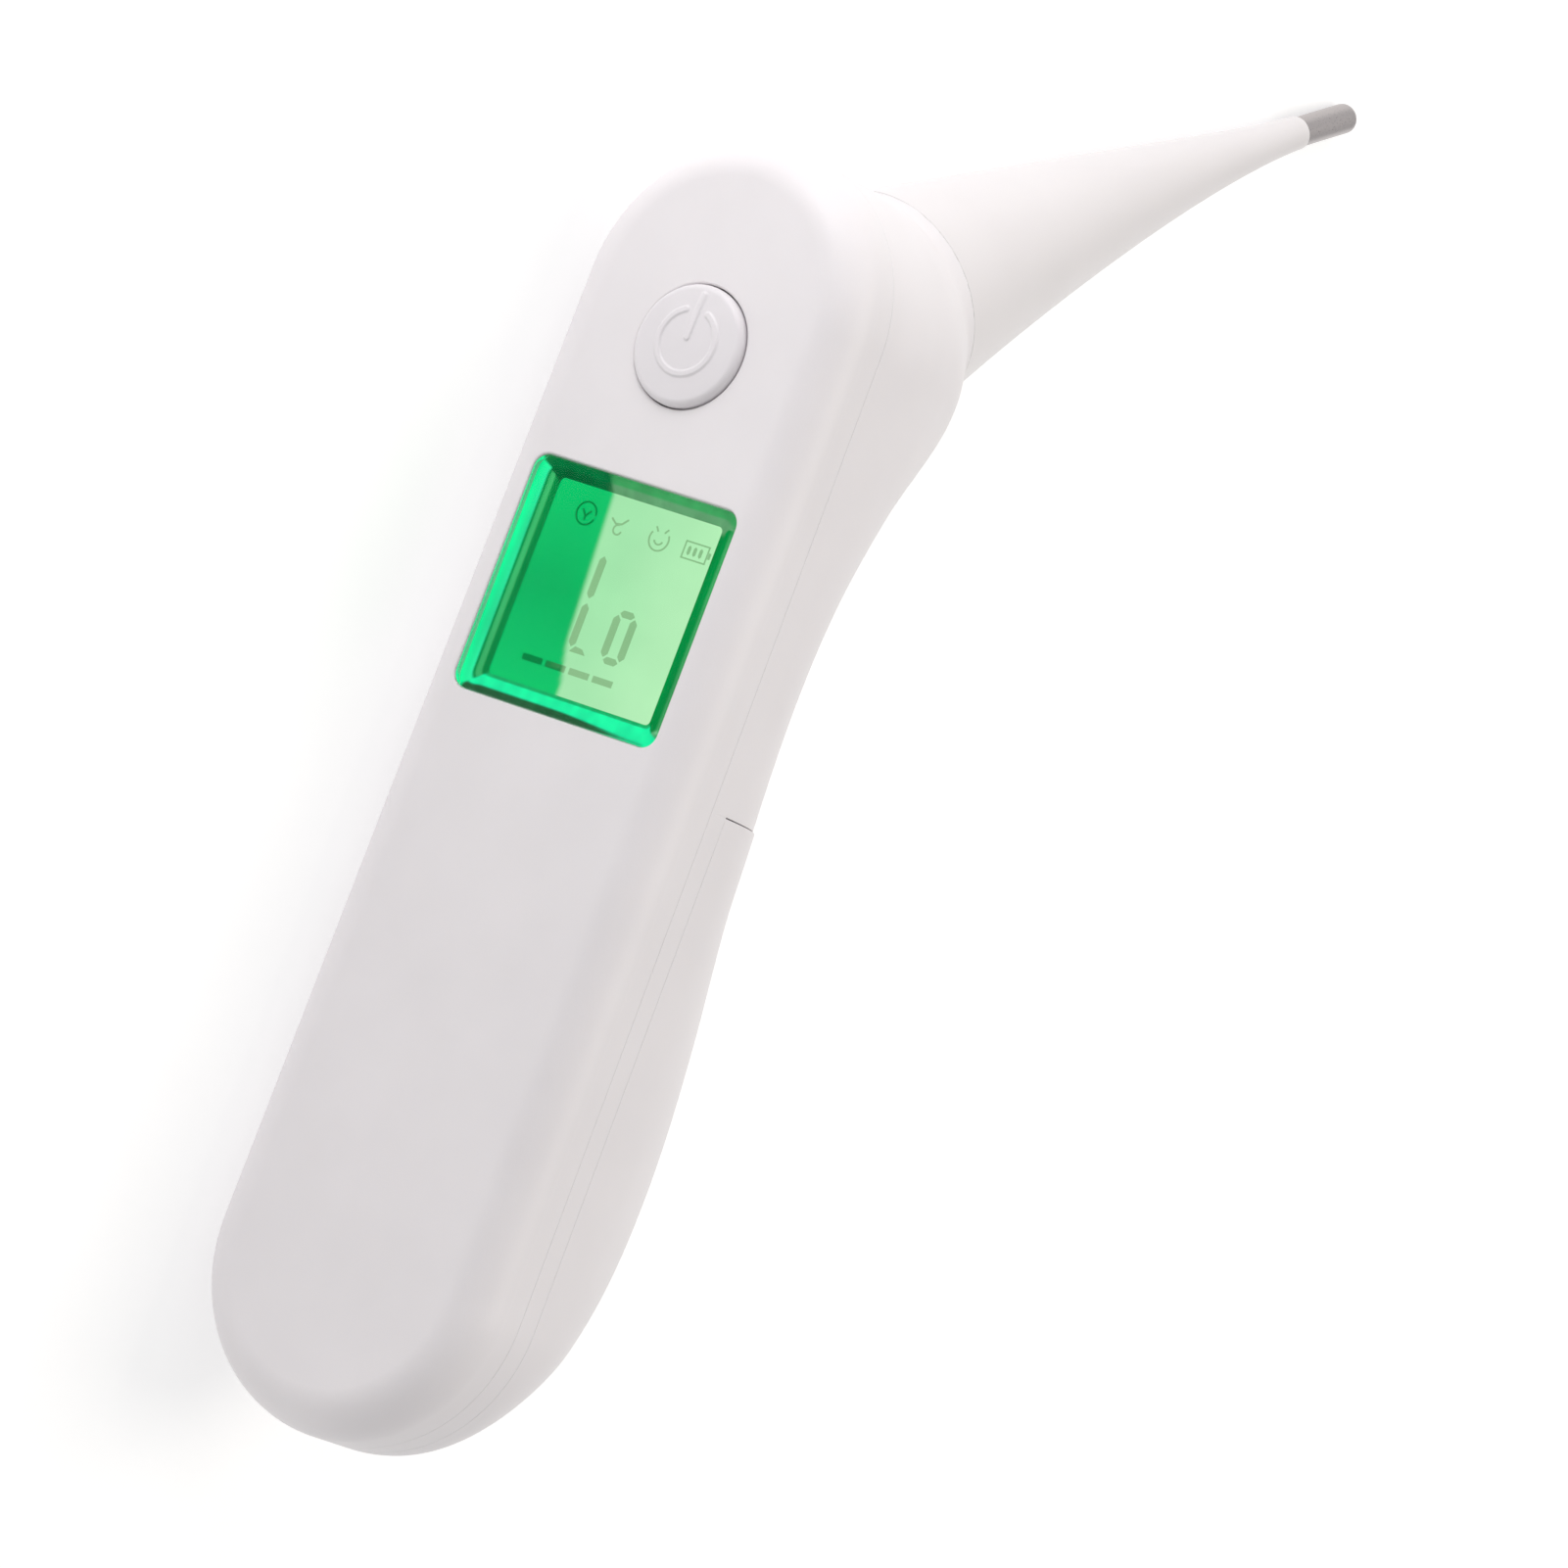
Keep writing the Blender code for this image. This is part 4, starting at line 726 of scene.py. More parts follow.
# ---------------- power button
RING_RADIUS = 0.0037
RING_HALF_LINE = 0.00030
SYMBOL_HEIGHT = 0.00016
RING_OPENING = math.radians(24)
RING_RISE = 0.0003          # the ring's centre above the button's
BAR_LOW = 0.0004
BAR_HIGH = 0.0054
KEY_DOME = 0.00040          # how far the button's face falls from its middle to its rim
KEY_EDGE = 0.00085
SKIRT_RADIUS = 0.0083
SKIRT_FRONT_Y = 0.0023
SKIRT_BACK_Y = 0.0030
STEM_RADIUS = 0.0024
STEM_BACK_Y = 0.0039


def symbol_height(x, z):
    """How far the raised power symbol stands out at a point of the button."""
    z = z - RING_RISE
    radius = np.hypot(x, z)
    angle = np.abs(np.arctan2(x, z))
    end = np.array((math.sin(RING_OPENING), math.cos(RING_OPENING))) * RING_RADIUS
    to_end = np.hypot(np.abs(x) - end[0], z - end[1])
    from_ring = np.where(angle > RING_OPENING, np.abs(radius - RING_RADIUS), to_end)
    from_bar = np.hypot(x, z - np.clip(z, BAR_LOW, BAR_HIGH))
    distance = np.minimum(from_ring, from_bar)
    return SYMBOL_HEIGHT * smooth(RING_HALF_LINE - distance, -0.00016, 0.00006)


def make_power_key(material):
    """A shallow dome with a rounded rim, a raised symbol, and the skirt and stem behind it."""
    steps = 192
    rows = 64
    flat = BUTTON_RADIUS - KEY_EDGE
    profile = [(KEY_DOME * (radius / BUTTON_RADIUS) ** 2 - BUTTON_PROUD, radius)
               for radius in flat * np.arange(rows + 1) / rows]
    start = profile[-1][0]
    profile += [(start + KEY_EDGE * (1 - math.cos(angle)), flat + KEY_EDGE * math.sin(angle))
                for angle in np.linspace(0, math.pi / 2, 9)[1:]]
    profile += [(SKIRT_FRONT_Y, BUTTON_RADIUS), (SKIRT_FRONT_Y, SKIRT_RADIUS),
                (SKIRT_BACK_Y, SKIRT_RADIUS), (SKIRT_BACK_Y, STEM_RADIUS),
                (STEM_BACK_Y, STEM_RADIUS)]
    angles = 2 * np.pi * np.arange(steps) / steps
    rings = []
    for y, radius in profile:
        x, z = radius * np.cos(angles), radius * np.sin(angles)
        raised = symbol_height(x, z) if y < 0 else 0
        rings.append(np.stack([x, np.full(steps, y) - raised, BUTTON_Z + z], axis=1))
    obj = add_mesh("power_key", *capped(rings))
    return dress(obj, material, "power_button", "button_white", "power_button")


# ---------------- probe
def probe_line(share):
    chord = np.linalg.norm(PROBE_TIP - PROBE_BASE)
    bend = PROBE_BASE + probe_direction() * chord * PROBE_BEND_SHARE
    point = ((1 - share) ** 2 * PROBE_BASE + 2 * share * (1 - share) * bend
             + share ** 2 * PROBE_TIP)
    direction = (1 - share) * (bend - PROBE_BASE) + share * (PROBE_TIP - bend)
    return point, direction / np.linalg.norm(direction)


PROBE_LENGTH = float(np.linalg.norm(PROBE_TIP - PROBE_BASE))
CONE_SHARE = 1 - CAP_LENGTH / PROBE_LENGTH


def cone_radius(along):
    left = np.maximum(0.0, 1 - along / (PROBE_LENGTH * CONE_SHARE))
    flare = PROBE_FLARE * np.exp(-along / PROBE_FLARE_LENGTH)
    return PROBE_NARROW_RADIUS + PROBE_SPREAD * left ** PROBE_TAPER_POWER + flare


def ring_on_line(share, radius, steps, shift=0.0):
    point, direction = probe_line(share)
    side = np.array((1.0, 0.0, 0.0))
    up = np.cross(side, direction)
    angles = 2 * np.pi * np.arange(steps) / steps
    return (point + direction * shift + radius * (np.outer(np.cos(angles), side)
                                                  + np.outer(np.sin(angles), up)))


def tube_on_line(profile, steps):
    """A shell along the probe, its profile a loop of (share, radius, shift) as for turned."""
    rings = [ring_on_line(share, radius, steps, shift) for share, radius, shift in profile]
    return np.concatenate(rings), ring_faces(len(rings), steps, closed=profile[0][1] > 0)


CONE_ROWS = 64


def cone_row(row):
    """A row's share of the way along the probe, and its radius there. Rows are closer at the base."""
    share = CONE_SHARE * (row / CONE_ROWS) ** 1.15
    return share, cone_radius(share * PROBE_LENGTH)


def make_probe_sleeve(material):
    base_radius = cone_radius(0.0)
    profile = [(0.0, base_radius - 0.00004, 0.00002), (0.0, base_radius, 0.00006)]
    profile += [(*cone_row(row), 0.0) for row in range(1, CONE_ROWS)]
    end_radius = cone_radius(CONE_SHARE * PROBE_LENGTH)
    for angle in np.linspace(0, math.pi / 2, 5):
        profile.append((CONE_SHARE, end_radius - CONE_ROUND * (1 - math.cos(angle)),
                        CONE_ROUND * (math.sin(angle) - 1)))
    for row in range(CONE_ROWS, 0, -4):
        share, radius = cone_row(row)
        profile.append((share, radius - 0.0007 - 0.0010 * (1 - share), 0.0))
    inside = SPIGOT_RADIUS - SPIGOT_WALL
    profile += [(0.0, inside, 0.0), (0.0, inside, -SPIGOT_LENGTH),
                (0.0, SPIGOT_RADIUS, -SPIGOT_LENGTH), (0.0, SPIGOT_RADIUS, 0.00002)]
    obj = add_mesh("probe_sleeve", *tube_on_line(profile, 96))
    return dress(obj, material, "housing", "probe_white", "probe_cone")


def make_probe_tip(material):
    """The metal cap, closed and round at its end, open towards the white cone."""
    start = CONE_SHARE + 0.0001 / PROBE_LENGTH
    nose = CAP_RADIUS / PROBE_LENGTH
    inside = CAP_RADIUS - CAP_WALL
    profile = [(1 - nose, 0.0, CAP_RADIUS / 2), (1 - nose, inside, 0.0), (start, inside, 0.0),
               (start, CAP_RADIUS - CAP_ROUND, 0.0), (start, CAP_RADIUS, CAP_ROUND)]
    profile += [(share, CAP_RADIUS, 0.0) for share in np.linspace(start + 0.01, 1 - nose, 8)]
    profile += [(1 - nose * (1 - math.sin(angle)), CAP_RADIUS * math.cos(angle), 0.0)
                for angle in np.linspace(0, math.pi / 2, 15)[1:-1]]
    profile.append((1.0, 0.0, 0.0))
    obj = add_mesh("probe_tip", *tube_on_line(profile, 64))
    return dress(obj, material, "housing", "tip_steel", "probe_tip_cap")


# ---------------- display
# Where the display changes from deep green to the pale green of a painted sheen, a reflection painted on its right
# side: (height, x), and half the change's width
PAINTED_SHEEN_EDGE = ((0.0860, -0.0020), (0.0907, -0.0033), (0.1077, -0.0044))
PAINTED_SHEEN_SOFTNESS = 0.0004
BEZEL_OUTER_CORNER = 0.0018
BEZEL_INNER_CORNER = 0.0006
BEZEL_GAP = 0.0001
BOX_FRONT_Y = LENS_BACK_Y + 0.0002
BOX_FLANGE_Y = 0.0023
BOX_BACK_Y = 0.0087
BEZEL_DEPTH = LCD_FRONT_Y - 0.0003 - BOX_FRONT_Y
GLASS_HALF_SIZE = 0.0130
GLASS_THICKNESS = 0.0018
SYMBOL_FRONT = 0.00010      # how far in front of the glass the symbols start and end
SYMBOL_BACK = 0.00004


def make_window(material):
    """The clear plate that fills the window, with a rounded front edge."""
    rings = [window_ring(-WINDOW_GAP - 2 * WINDOW_ROUND, -WINDOW_PROUD)]
    for angle in np.linspace(0, math.pi / 2, 7):
        rings.append(window_ring(-WINDOW_GAP - WINDOW_ROUND * (1 - math.sin(angle)),
                                 WINDOW_ROUND * (1 - math.cos(angle)) - WINDOW_PROUD))
    rings.append(window_ring(-WINDOW_GAP, LENS_BACK_Y))
    obj = add_mesh("window_plate", *capped(rings))
    return dress(obj, material, "housing", "window_clear", "display_lens")


def window_ring(grow, y):
    return flat_points(window_outline(grow), y)


def blend_colour(first, second, share):
    return tuple(a + (b - a) * share for a, b in zip(first, second))


def painted_sheen_share(x, z):
    """0 on the deep green side of the display, 1 on its pale side, where a sheen is painted on."""
    heights, places = zip(*PAINTED_SHEEN_EDGE)
    edge = float(np.interp(z, heights, places))
    return float(smooth(x, edge - PAINTED_SHEEN_SOFTNESS, edge + PAINTED_SHEEN_SOFTNESS))


def turn_to(first, second, value, low, high):
    """The first colour, turned softly to the second as value goes from low to high."""
    return blend_colour(first, second, float(smooth(value, low, high)))


def bezel_colour(x, z, share):
    """Colour of the sloped bezel at a point, share of the way down its slope: bands of painted glow and painted
    shade, standing for the lit window edges and the shaded walls of the recess.
    """
    upward = (z - WINDOW_MIDDLE_Z) / WINDOW_HALF_Z
    if abs(x) / WINDOW_HALF_WIDTH > abs(upward):
        if x < 0:
            # Left side, painted light and shade: a bright band of glow, a dark line, a lighter stripe, then deep
            # green.
            painted_glow = blend_colour(linear(12, 246, 156), linear(46, 236, 166), min(1, share / 0.4))
            line = turn_to(painted_glow, linear(8, 150, 80), share, 0.38, 0.46)
            stripe = turn_to(line, linear(64, 186, 112), share, 0.50, 0.56)
            return turn_to(stripe, linear(2, 136, 68), share, 0.70, 0.78)
        # Right side: a pale rim of painted highlight, darker towards the corners, then deep green.
        rim = turn_to(linear(158, 236, 182), linear(6, 128, 68), abs(upward), 0.80, 0.90)
        return turn_to(rim, linear(0, 140, 65), share, 0.54, 0.60)
    if upward < 0:
        # Bottom: a dark band of painted shade and reflection of the casing's wall, wider left of the middle, then
        # a bright band of painted glow.
        reach = 0.10 + 0.20 * float(smooth(-x, -0.0110, 0.0010) * smooth(x, -0.0140, -0.0110))
        glow = turn_to(linear(38, 90, 56), linear(28, 246, 172), share, reach, reach + 0.12)
        return turn_to(glow, linear(24, 176, 104), share, 0.80, 0.88)
    # Top: dark olive painted shade of the recess's upper wall, paler where the painted sheen lies, darker towards
    # the right end and the outer edge.
    outer = blend_colour(linear(0, 112, 58), linear(66, 162, 96), painted_sheen_share(x, z))
    inner = blend_colour(linear(0, 98, 50), linear(104, 162, 116), painted_sheen_share(x, z))
    shade = turn_to(turn_to(outer, inner, share, 0.40, 0.60), linear(6, 128, 68), x, 0.0128, 0.0136)
    return turn_to(linear(8, 118, 60), shade, share, 0.06, 0.16)


def paint(obj, colour_at):
    """Stores a colour for each point of a mesh, from its place."""
    glow = obj.data.color_attributes.new("glow", "FLOAT_COLOR", "POINT")
    for vertex, value in zip(obj.data.vertices, glow.data):
        value.color = colour_at(*vertex.co)


def make_light_box(material):
    """The bezel that slopes from the window down to the glass, and the box behind it; the bezel's colours are
    painted glow and shade.
    """
    line = [(BEZEL_GAP + (BEZEL_WIDTH - BEZEL_GAP) * share, BOX_FRONT_Y + BEZEL_DEPTH * share)
            for share in np.linspace(0, 1, 25)]
    line += [(0.0008, LCD_FRONT_Y - 0.0002), (0.0008, BOX_BACK_Y), (-0.0003, BOX_BACK_Y),
             (-0.0003, BOX_FLANGE_Y), (BEZEL_GAP / 2, BOX_FLANGE_Y), (BEZEL_GAP / 2, BOX_FRONT_Y)]
    rings = [bezel_ring(inset, y) for inset, y in line]
    faces = ring_faces(len(rings), len(rings[0]), closed=True)
    obj = add_mesh("light_box", np.concatenate(rings), faces)
    paint(obj, lambda x, y, z: bezel_colour(x, z, min(1, max(0, (y - BOX_FRONT_Y) / BEZEL_DEPTH))))
    return dress(obj, material, "housing", "light_box", "lcd_frame")


def bezel_ring(inset, y):
    """A ring of many points round the window, inset from its edge, with round corners."""
    right_inset = inset * BEZEL_RIGHT_WIDTH / BEZEL_WIDTH if inset > 0 else inset
    top_inset = inset * BEZEL_TOP_WIDTH / BEZEL_WIDTH if inset > 0 else inset
    half_x = WINDOW_HALF_WIDTH - (inset + right_inset) / 2
    half_z = WINDOW_HALF_Z - (inset + top_inset) / 2
    middle_x = (inset - right_inset) / 2
    middle_z = WINDOW_MIDDLE_Z + (inset - top_inset) / 2
    corner = BEZEL_OUTER_CORNER + (BEZEL_INNER_CORNER - BEZEL_OUTER_CORNER) * inset / BEZEL_WIDTH
    corners = rounded_rectangle(half_x, half_z, middle_z, corner, 8) + (middle_x, 0)
    points = []
    for number, (x, z) in enumerate(corners):
        points.append((x, z))
        if number % 9 == 8:
            next_x, next_z = corners[(number + 1) % len(corners)]
            points += [(x + (next_x - x) * share, z + (next_z - z) * share)
                       for share in np.linspace(0, 1, 41)[1:-1]]
    return flat_points(points, y)


def glass_colour(x, z):
    """The lit display: deep green at the left, pale green with a painted sheen at the right, brighter towards its
    foot.
    """
    upward = (z - WINDOW_MIDDLE_Z) / WINDOW_HALF_Z
    deep = blend_colour(linear(2, 178, 98), linear(6, 200, 112), min(1, abs(upward)))
    rightward = min(1.0, max(0.0, x / WINDOW_HALF_WIDTH))
    # The painted sheen: pale green, lighter towards the right.
    pale = blend_colour(linear(176, 231, 180), linear(198, 243, 194), rightward)
    return blend_colour(deep, pale, painted_sheen_share(x, z))


def make_glass(material):
    columns, rows = 101, 25
    points = [(x, y, WINDOW_MIDDLE_Z + z) for y in (LCD_FRONT_Y, LCD_FRONT_Y + GLASS_THICKNESS)
              for z in np.linspace(-GLASS_HALF_SIZE, GLASS_HALF_SIZE, rows)
              for x in np.linspace(-GLASS_HALF_SIZE, GLASS_HALF_SIZE, columns)]
    grid = np.arange(2 * rows * columns).reshape(2, rows, columns)
    corners = (grid[:, :-1, :-1], grid[:, :-1, 1:], grid[:, 1:, 1:], grid[:, 1:, :-1])
    faces = np.stack(corners, axis=-1).reshape(-1, 4).tolist()
    front = grid[0]
    edge = np.concatenate([front[0, :-1], front[:-1, -1], front[-1, :0:-1], front[:0:-1, 0]])
    after = np.roll(edge, -1)
    layer = rows * columns
    faces += np.stack([edge, after, after + layer, edge + layer], axis=1).tolist()
    obj = add_mesh("display_glass", points, faces)
    paint(obj, lambda x, y, z: glass_colour(x, z))
    return dress(obj, material, "housing", "lcd_green", "lcd_glass")


def stroke(points, width, closed=False):
    """The quads of a flat line of even width through points (x, z), with mitred corners."""
    line = np.array(points, float)
    after = np.roll(line, -1, axis=0) - line
    after /= np.linalg.norm(after, axis=1)[:, None]
    before = np.roll(after, 1, axis=0)
    if not closed:
        before[0] = after[0]
        after[-1] = before[-1]
    middle = before + after
    normal = np.stack([-middle[:, 1], middle[:, 0]], axis=1)
    normal /= np.linalg.norm(normal, axis=1)[:, None]
    mitre = normal[:, 1] * before[:, 0] - normal[:, 0] * before[:, 1]
    reach = normal * (width / 2 / np.maximum(0.5, mitre))[:, None]
    ends = list(zip(line + reach, line - reach))
    pairs = zip(ends, ends[1:] + ends[:1]) if closed else zip(ends, ends[1:])
    return [[left, next_left, next_right, right]
            for (left, right), (next_left, next_right) in pairs]


def arc(x, z, radius, start, end, steps=20):
    angles = np.radians(np.linspace(start, end, steps + 1))
    return [(x + radius * math.cos(a), z + radius * math.sin(a)) for a in angles]


def upright_segment(x, low, high, width):
    """A segment of a digit that stands up, with pointed ends."""
    half = width / 2
    return [[(x, low), (x + half, low + half), (x + half, high - half), (x, high),
             (x - half, high - half), (x - half, low + half)]]


def level_segment(left, right, z, width):
    return [[(x, z) for z, x in upright_segment(z, left, right, width)[0]]]


def symbol_shapes():
    """What the display shows: four small signs, two figures and a row of dashes, in metres."""
    mm = 0.001
    shapes = []
    shapes += stroke(arc(-6.9, 104.7, 1.30, 0, 342, 40), 0.20)
    shapes += stroke([(-7.5, 105.1), (-6.9, 104.4), (-6.3, 105.1)], 0.22)
    shapes += stroke([(-6.9, 104.4), (-6.9, 103.9)], 0.22)
    shapes += stroke([(-3.4, 105.1), (-2.7, 104.6), (-1.9, 104.7), (-1.2, 105.4)], 0.22)
    shapes += stroke(arc(-2.2, 104.0, 0.55, 80, 350, 20), 0.20)
    shapes += stroke(arc(3.45, 104.4, 1.30, 150, 390, 32), 0.20)
    shapes += stroke([(2.6, 105.7), (3.0, 105.2)], 0.20)
    shapes += stroke([(4.3, 105.7), (3.9, 105.2)], 0.20)
    shapes += stroke(arc(3.45, 104.4, 0.60, 200, 340, 12), 0.20)
    shapes += stroke([(7.0, 103.3), (10.2, 103.3), (10.2, 105.2), (7.0, 105.2)], 0.18, True)
    for x in (7.7, 8.5, 9.3):
        shapes += upright_segment(x, 103.7, 104.8, 0.40)
    shapes += stroke([(10.5, 103.9), (10.5, 104.6)], 0.30)
    shapes += upright_segment(-2.50, 95.9, 100.8, 0.95)
    shapes += upright_segment(-2.50, 90.3, 95.3, 0.95)
    shapes.append([(-2.5, 89.75), (-0.3, 89.75), (-0.9, 90.35), (-1.9, 90.45)])
    shapes += upright_segment(2.00, 90.3, 95.2, 0.95)
    shapes += upright_segment(4.30, 90.3, 95.2, 0.95)
    shapes += level_segment(2.15, 4.15, 95.45, 0.80)
    shapes += level_segment(2.15, 4.15, 90.05, 0.80)
    dashes = ((-8.10, -5.35), (-4.85, -2.75), (-2.72, -2.10), (-1.55, 1.20), (1.75, 4.50))
    for left, right in dashes:
        shapes.append([(left, 87.3), (right, 87.3), (right, 88.05), (left, 88.05)])
    return [[(x * mm, z * mm) for x, z in shape] for shape in shapes]


def make_symbols(material):
    points = []
    faces = []
    for shape in symbol_shapes():
        solid, sides = capped([flat_points(shape, LCD_FRONT_Y - SYMBOL_FRONT),
                               flat_points(shape, LCD_FRONT_Y - SYMBOL_BACK)])
        faces += [tuple(len(points) + corner for corner in side) for side in sides]
        points += list(solid)
    obj = add_mesh("display_symbols", points, faces)
    # Symbols are deep green, and pale green where the painted sheen lies over them.
    paint(obj, lambda x, y, z: blend_colour(linear(0, 128, 64), linear(148, 190, 142),
                                            painted_sheen_share(x, z)))
    return dress(obj, material, "housing", "lcd_green")


# ---------------- battery cells
CELL_RADIUS = 0.00525
CELL_LENGTH = 0.0437
CELL_X = 0.0056
CELL_Y = 0.0185
CELLS_LOW_Z = 0.0136
CELLS_HIGH_Z = 0.0620
NUB_RADIUS = 0.0019
NUB_LENGTH = 0.0008
NUB_CORNER = 0.0003
SHOULDER = 0.0007
SLEEVE = 0.00012
BAND_START = 0.0345
HAIR = 0.00001
CELL_STEPS = 72


def shoulder(end, inward, radius, corner):
    """A quarter round (along, radius) from a flat end to the side, inward being 1 or -1."""
    angles = [math.pi / 2 * step / 6 for step in range(7)]
    return [(end + inward * corner * (1 - math.cos(angle)),
             radius - corner + corner * math.sin(angle)) for angle in angles]


def cell_outlines():
    """The steel can, the dark sleeve shrunk onto it, and the bright band at its raised end."""
    skin = SLEEVE + HAIR
    steel = (skin, CELL_RADIUS - skin, SHOULDER - skin)
    top = CELL_LENGTH + NUB_LENGTH
    can = [(skin, 0)] + shoulder(steel[0], 1, *steel[1:])
    can += shoulder(CELL_LENGTH - steel[0], -1, *steel[1:])[::-1]
    can += [(CELL_LENGTH - skin, NUB_RADIUS + NUB_CORNER), (CELL_LENGTH, NUB_RADIUS)]
    can += shoulder(top, -1, NUB_RADIUS, NUB_CORNER)[::-1] + [(top, 0)]
    inner = (CELL_RADIUS - SLEEVE, SHOULDER - SLEEVE)
    sleeve = shoulder(0, 1, CELL_RADIUS, SHOULDER)
    sleeve += [(BAND_START, CELL_RADIUS), (BAND_START, inner[0])]
    sleeve += shoulder(SLEEVE, 1, *inner)[::-1]
    band = [(BAND_START + HAIR, CELL_RADIUS)]
    band += shoulder(CELL_LENGTH, -1, CELL_RADIUS, SHOULDER)[::-1]
    band += shoulder(CELL_LENGTH - SLEEVE, -1, *inner)
    band += [(BAND_START + HAIR, inner[0])]
    return {"can": can, "sleeve": sleeve, "band": band}


def make_cells():
    """Two cells, one each way up."""
    looks = {
        "can": brushed_metal("cell_steel", linear(206, 206, 208), 0.24),
        "sleeve": moulded_plastic("cell_sleeve", linear(50, 56, 70), 0.26),
        "band": moulded_plastic("cell_band", linear(196, 198, 202), 0.24),
    }
    full = CELL_LENGTH + NUB_LENGTH
    for node, x, foot, rise in (("battery_left", -CELL_X, CELLS_HIGH_Z - full, 1),
                                ("battery_right", CELL_X, CELLS_LOW_Z + full, -1)):
        for part, line in cell_outlines().items():
            origin = np.array((x, CELL_Y, foot))
            obj = add_mesh(f"{node}_{part}", *turned(line, origin, (0, 0, rise), CELL_STEPS), 50.0)
            stands_for = (node,) if part == "can" else ()
            dress(obj, looks[part].material, "housing", "cell_sleeve", *stands_for)


# ---------------- pieces kept from the frame
# A look for each material slot of the pieces inside: colour, roughness
INNER_PLASTICS = {
    "light_guide": ((206, 250, 218), 0.30),
    "led_package": ((246, 242, 205), 0.35),
    "zebra_rubber": ((66, 66, 68), 0.75),
    "chip_black": ((38, 38, 40), 0.55),
    "inner_plastic": ((226, 225, 224), 0.45),
    "switch_black": ((44, 44, 46), 0.50),
    "plunger_grey": ((140, 140, 143), 0.50),
    "seal_silicone": ((214, 217, 220), 0.60),
    "lead_red": ((190, 36, 30), 0.42),
    "lead_black": ((36, 36, 38), 0.42),
    "lead_grey": ((150, 150, 152), 0.50),
    "bead_amber": ((150, 98, 50), 0.25),
}
INNER_METALS = {
    "can_metal": ((205, 205, 207), 0.30),
    "screw_steel": ((184, 184, 188), 0.32),
    "spring_steel": ((212, 210, 205), 0.26),
    "buzzer_brass": ((222, 190, 124), 0.32),
}


def inner_looks():
    looks = {"board_green": moulded_plastic("board_green", linear(38, 120, 80), 0.40, 3000,
                                            0.00001, 0.2)}
    for finish, table in ((moulded_plastic, INNER_PLASTICS), (brushed_metal, INNER_METALS)):
        for name, (colour, roughness) in table.items():
            looks[name] = finish(name, linear(*colour), roughness)
    return looks


def dress_kept_nodes():
    looks = inner_looks()
    for row in frame["record"]["subparts"]:
        node = frame["nodes"][row["node"]]
        if not node.hide_render:
            node.data.materials.clear()
            node.data.materials.append(looks[row["material_slot"]].material)


# ---------------- studio
CAMERA_TARGET = Vector((0.031875, 0.0, 0.0833))
CAMERA_DISTANCE = 0.9662
CAMERA_AZIMUTH = math.radians(34.0)
CAMERA_ELEVATION = math.radians(-3.183)
CAMERA_ROLL = math.radians(20.747)
CAMERA_LENS = 208.0


def make_camera():
    """The camera, placed in upright directions and turned about its own line of sight."""
    sin_a, cos_a = math.sin(CAMERA_AZIMUTH), math.cos(CAMERA_AZIMUTH)
    sin_e, cos_e = math.sin(CAMERA_ELEVATION), math.cos(CAMERA_ELEVATION)
    towards = Vector((sin_a * cos_e, -cos_a * cos_e, sin_e))
    level = Vector((cos_a, sin_a, 0))
    steep = Vector((-sin_a * sin_e, cos_a * sin_e, cos_e))
    right = level * math.cos(CAMERA_ROLL) + steep * math.sin(CAMERA_ROLL)
    up = steep * math.cos(CAMERA_ROLL) - level * math.sin(CAMERA_ROLL)
    matrix = Matrix((right, up, towards)).transposed().to_4x4()
    matrix.translation = CAMERA_TARGET + towards * CAMERA_DISTANCE
    camera = bpy.data.objects.new("camera", bpy.data.cameras.new("camera"))
    camera.data.lens = CAMERA_LENS
    camera.data.sensor_width = 36.0
    camera.data.clip_start = 0.02
    camera.data.clip_end = 20.0
    bpy.context.scene.collection.objects.link(camera)
    camera.matrix_world = UPRIGHT @ matrix
    bpy.context.scene.camera = camera


def make_floor():
    size = 4.0
    floor = add_mesh("floor", [(-size, -size, 0), (size, -size, 0), (size, size, 0),
                               (-size, size, 0)], [(0, 1, 2, 3)])
    look = Look("floor_paper", 0.85)
    look.set("Specular IOR Level", 0.1)
    look.link(look.ramp(look.noise(40, 2), (0.3, (0.70, 0.70, 0.70, 1)), (0.7, (0.72, 0.72, 0.72, 1))),
              look.shader.inputs["Base Color"])
    look.set("Emission Color", (1.0, 1.0, 1.0, 1.0))
    look.set("Emission Strength", 0.42)
    floor.data.materials.append(look.material)


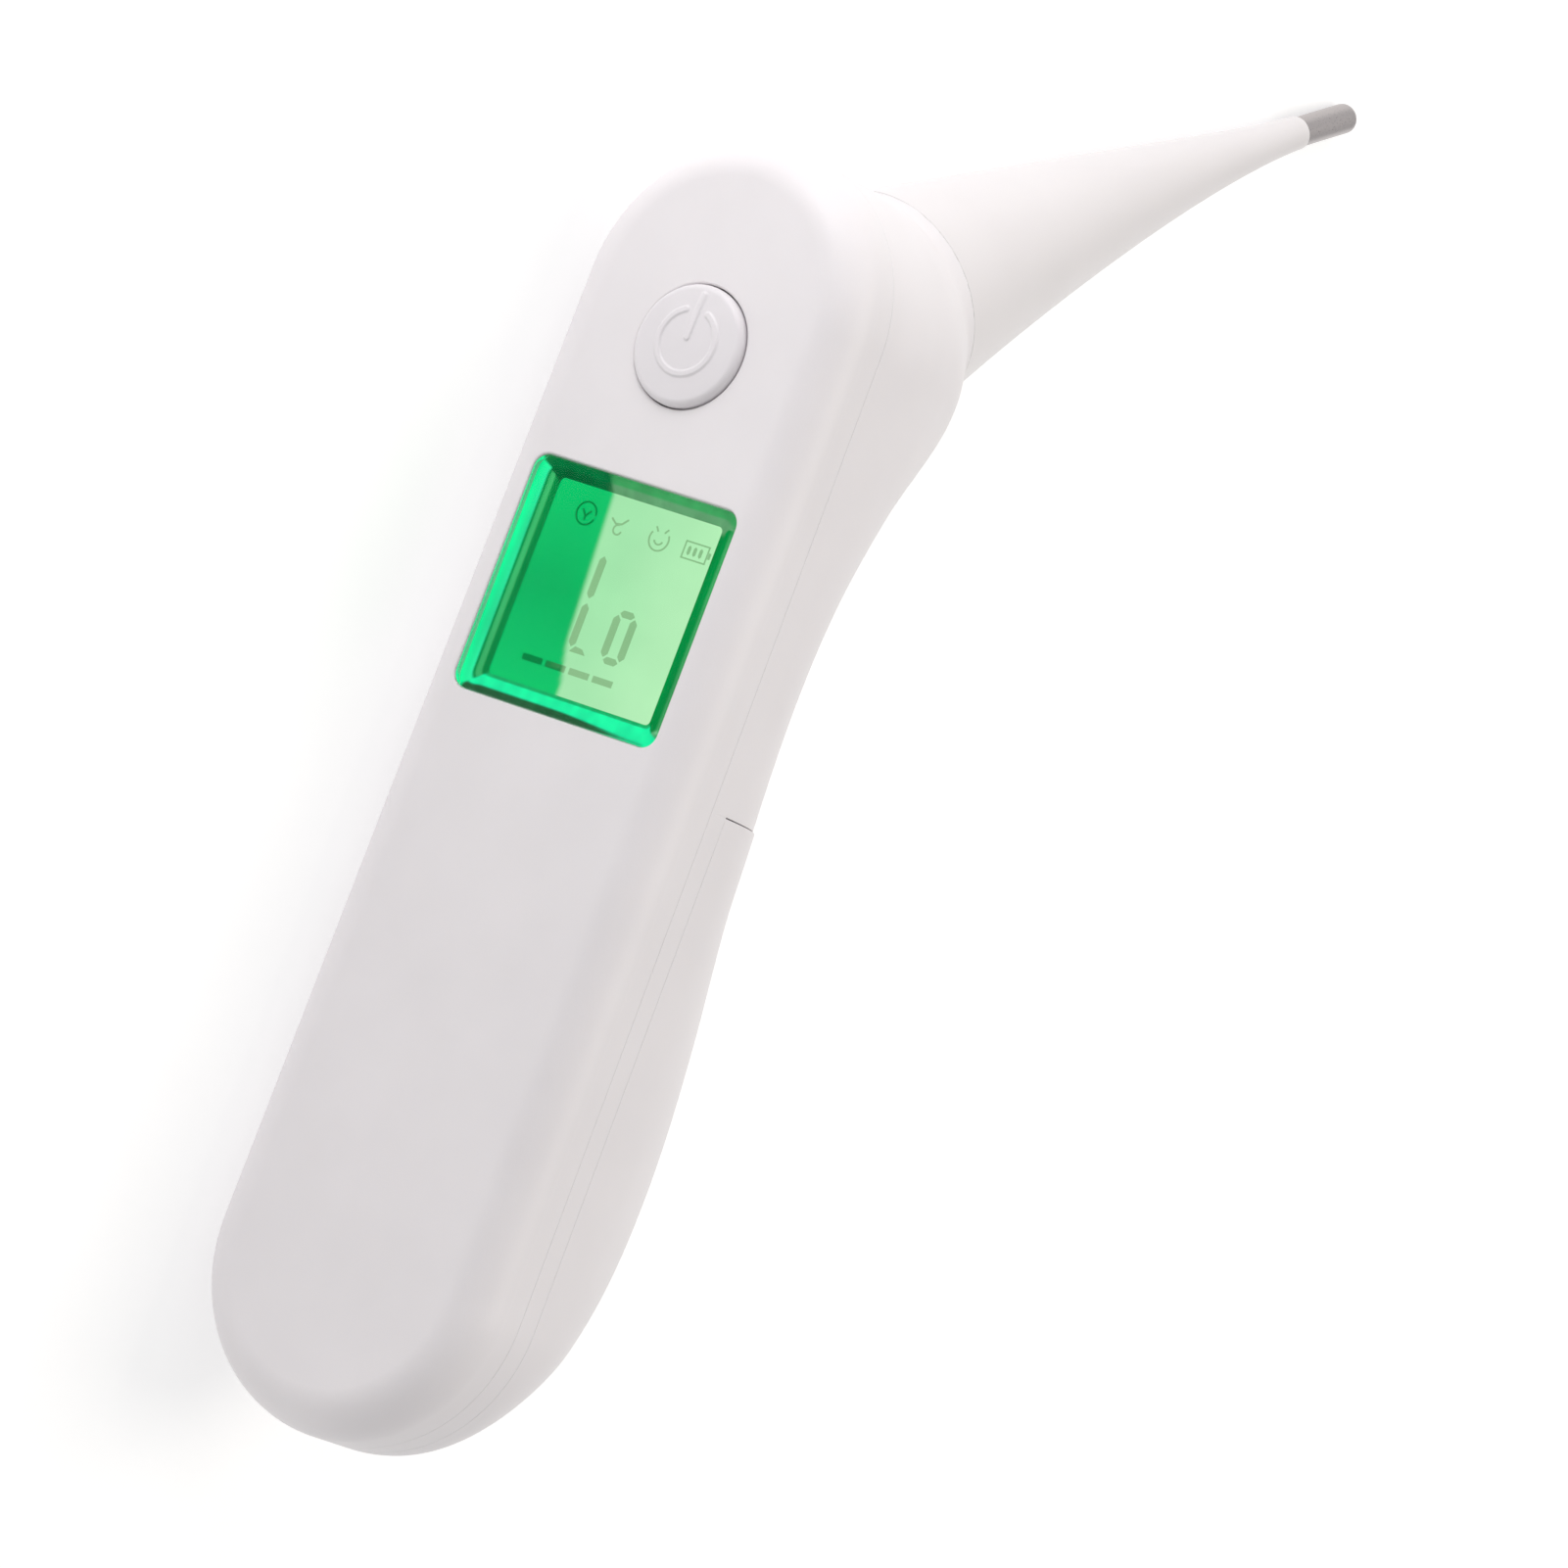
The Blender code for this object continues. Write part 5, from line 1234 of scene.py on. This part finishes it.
def add_light(name, place, aim, size, power, colour):
    light = bpy.data.lights.new(name, "AREA")
    light.shape = "DISK"
    light.size = size
    light.energy = power
    light.color = colour
    obj = bpy.data.objects.new(name, light)
    bpy.context.scene.collection.objects.link(obj)
    obj.location = place
    obj.rotation_euler = (Vector(aim) - Vector(place)).to_track_quat("-Z", "Y").to_euler()


WORLD_BEYOND_HEAD = 0.82
WORLD_BEYOND_FOOT = 0.46


def make_studio():
    """A bright room, lighter beyond the head than at the lower end, and three soft lights."""
    world = bpy.data.worlds.new("studio")
    world.use_nodes = True
    background = world.node_tree.nodes["Background"]
    background.inputs["Color"].default_value = (1.0, 1.0, 1.0, 1.0)
    nodes = world.node_tree.nodes
    split = nodes.new("ShaderNodeSeparateXYZ")
    across = nodes.new("ShaderNodeMapRange")
    across.inputs["From Min"].default_value = -1.0
    across.inputs["To Min"].default_value = WORLD_BEYOND_HEAD
    across.inputs["To Max"].default_value = WORLD_BEYOND_FOOT
    links = world.node_tree.links
    links.new(nodes.new("ShaderNodeTexCoord").outputs["Generated"], split.inputs["Vector"])
    links.new(split.outputs["X"], across.inputs["Value"])
    links.new(across.outputs["Result"], background.inputs["Strength"])
    bpy.context.scene.world = world
    add_light("key", (-0.70, -0.34, 0.28), (-0.02, -0.02, 0.02), 0.50, 0.8, (1.0, 0.99, 1.0))
    add_light("near", (-0.19, -0.17, 0.03), (-0.04, -0.04, 0.02), 0.10, 0.13, (1.0, 0.98, 1.0))
    add_light("top", (-0.20, 0.30, 0.80), (-0.02, 0.0, 0.02), 0.60, 2.4, (1.0, 0.95, 0.87))
    bpy.context.scene.view_settings.view_transform = "Standard"
    bpy.context.scene.view_settings.look = "None"


def main():
    white = casing_look()
    make_casing_front(white)
    make_casing_rear(white)
    make_battery_cover(white)
    make_power_key(moulded_plastic("button_plastic", linear(222, 218, 221), 0.40).material)
    make_probe_sleeve(probe_look())
    make_probe_tip(brushed_metal("tip_metal", linear(186, 180, 180), 0.34).material)
    make_window(window_look())
    make_light_box(glow_look("box_light", 0.82, 1.10, 900, (0.12, 1, 1)))
    lit = glow_look("display_light", 0.97, 1.02, 160, (1, 1, 1))
    make_glass(lit)
    make_symbols(lit)
    make_cells()
    dress_kept_nodes()
    make_floor()
    make_camera()
    make_studio()


main()
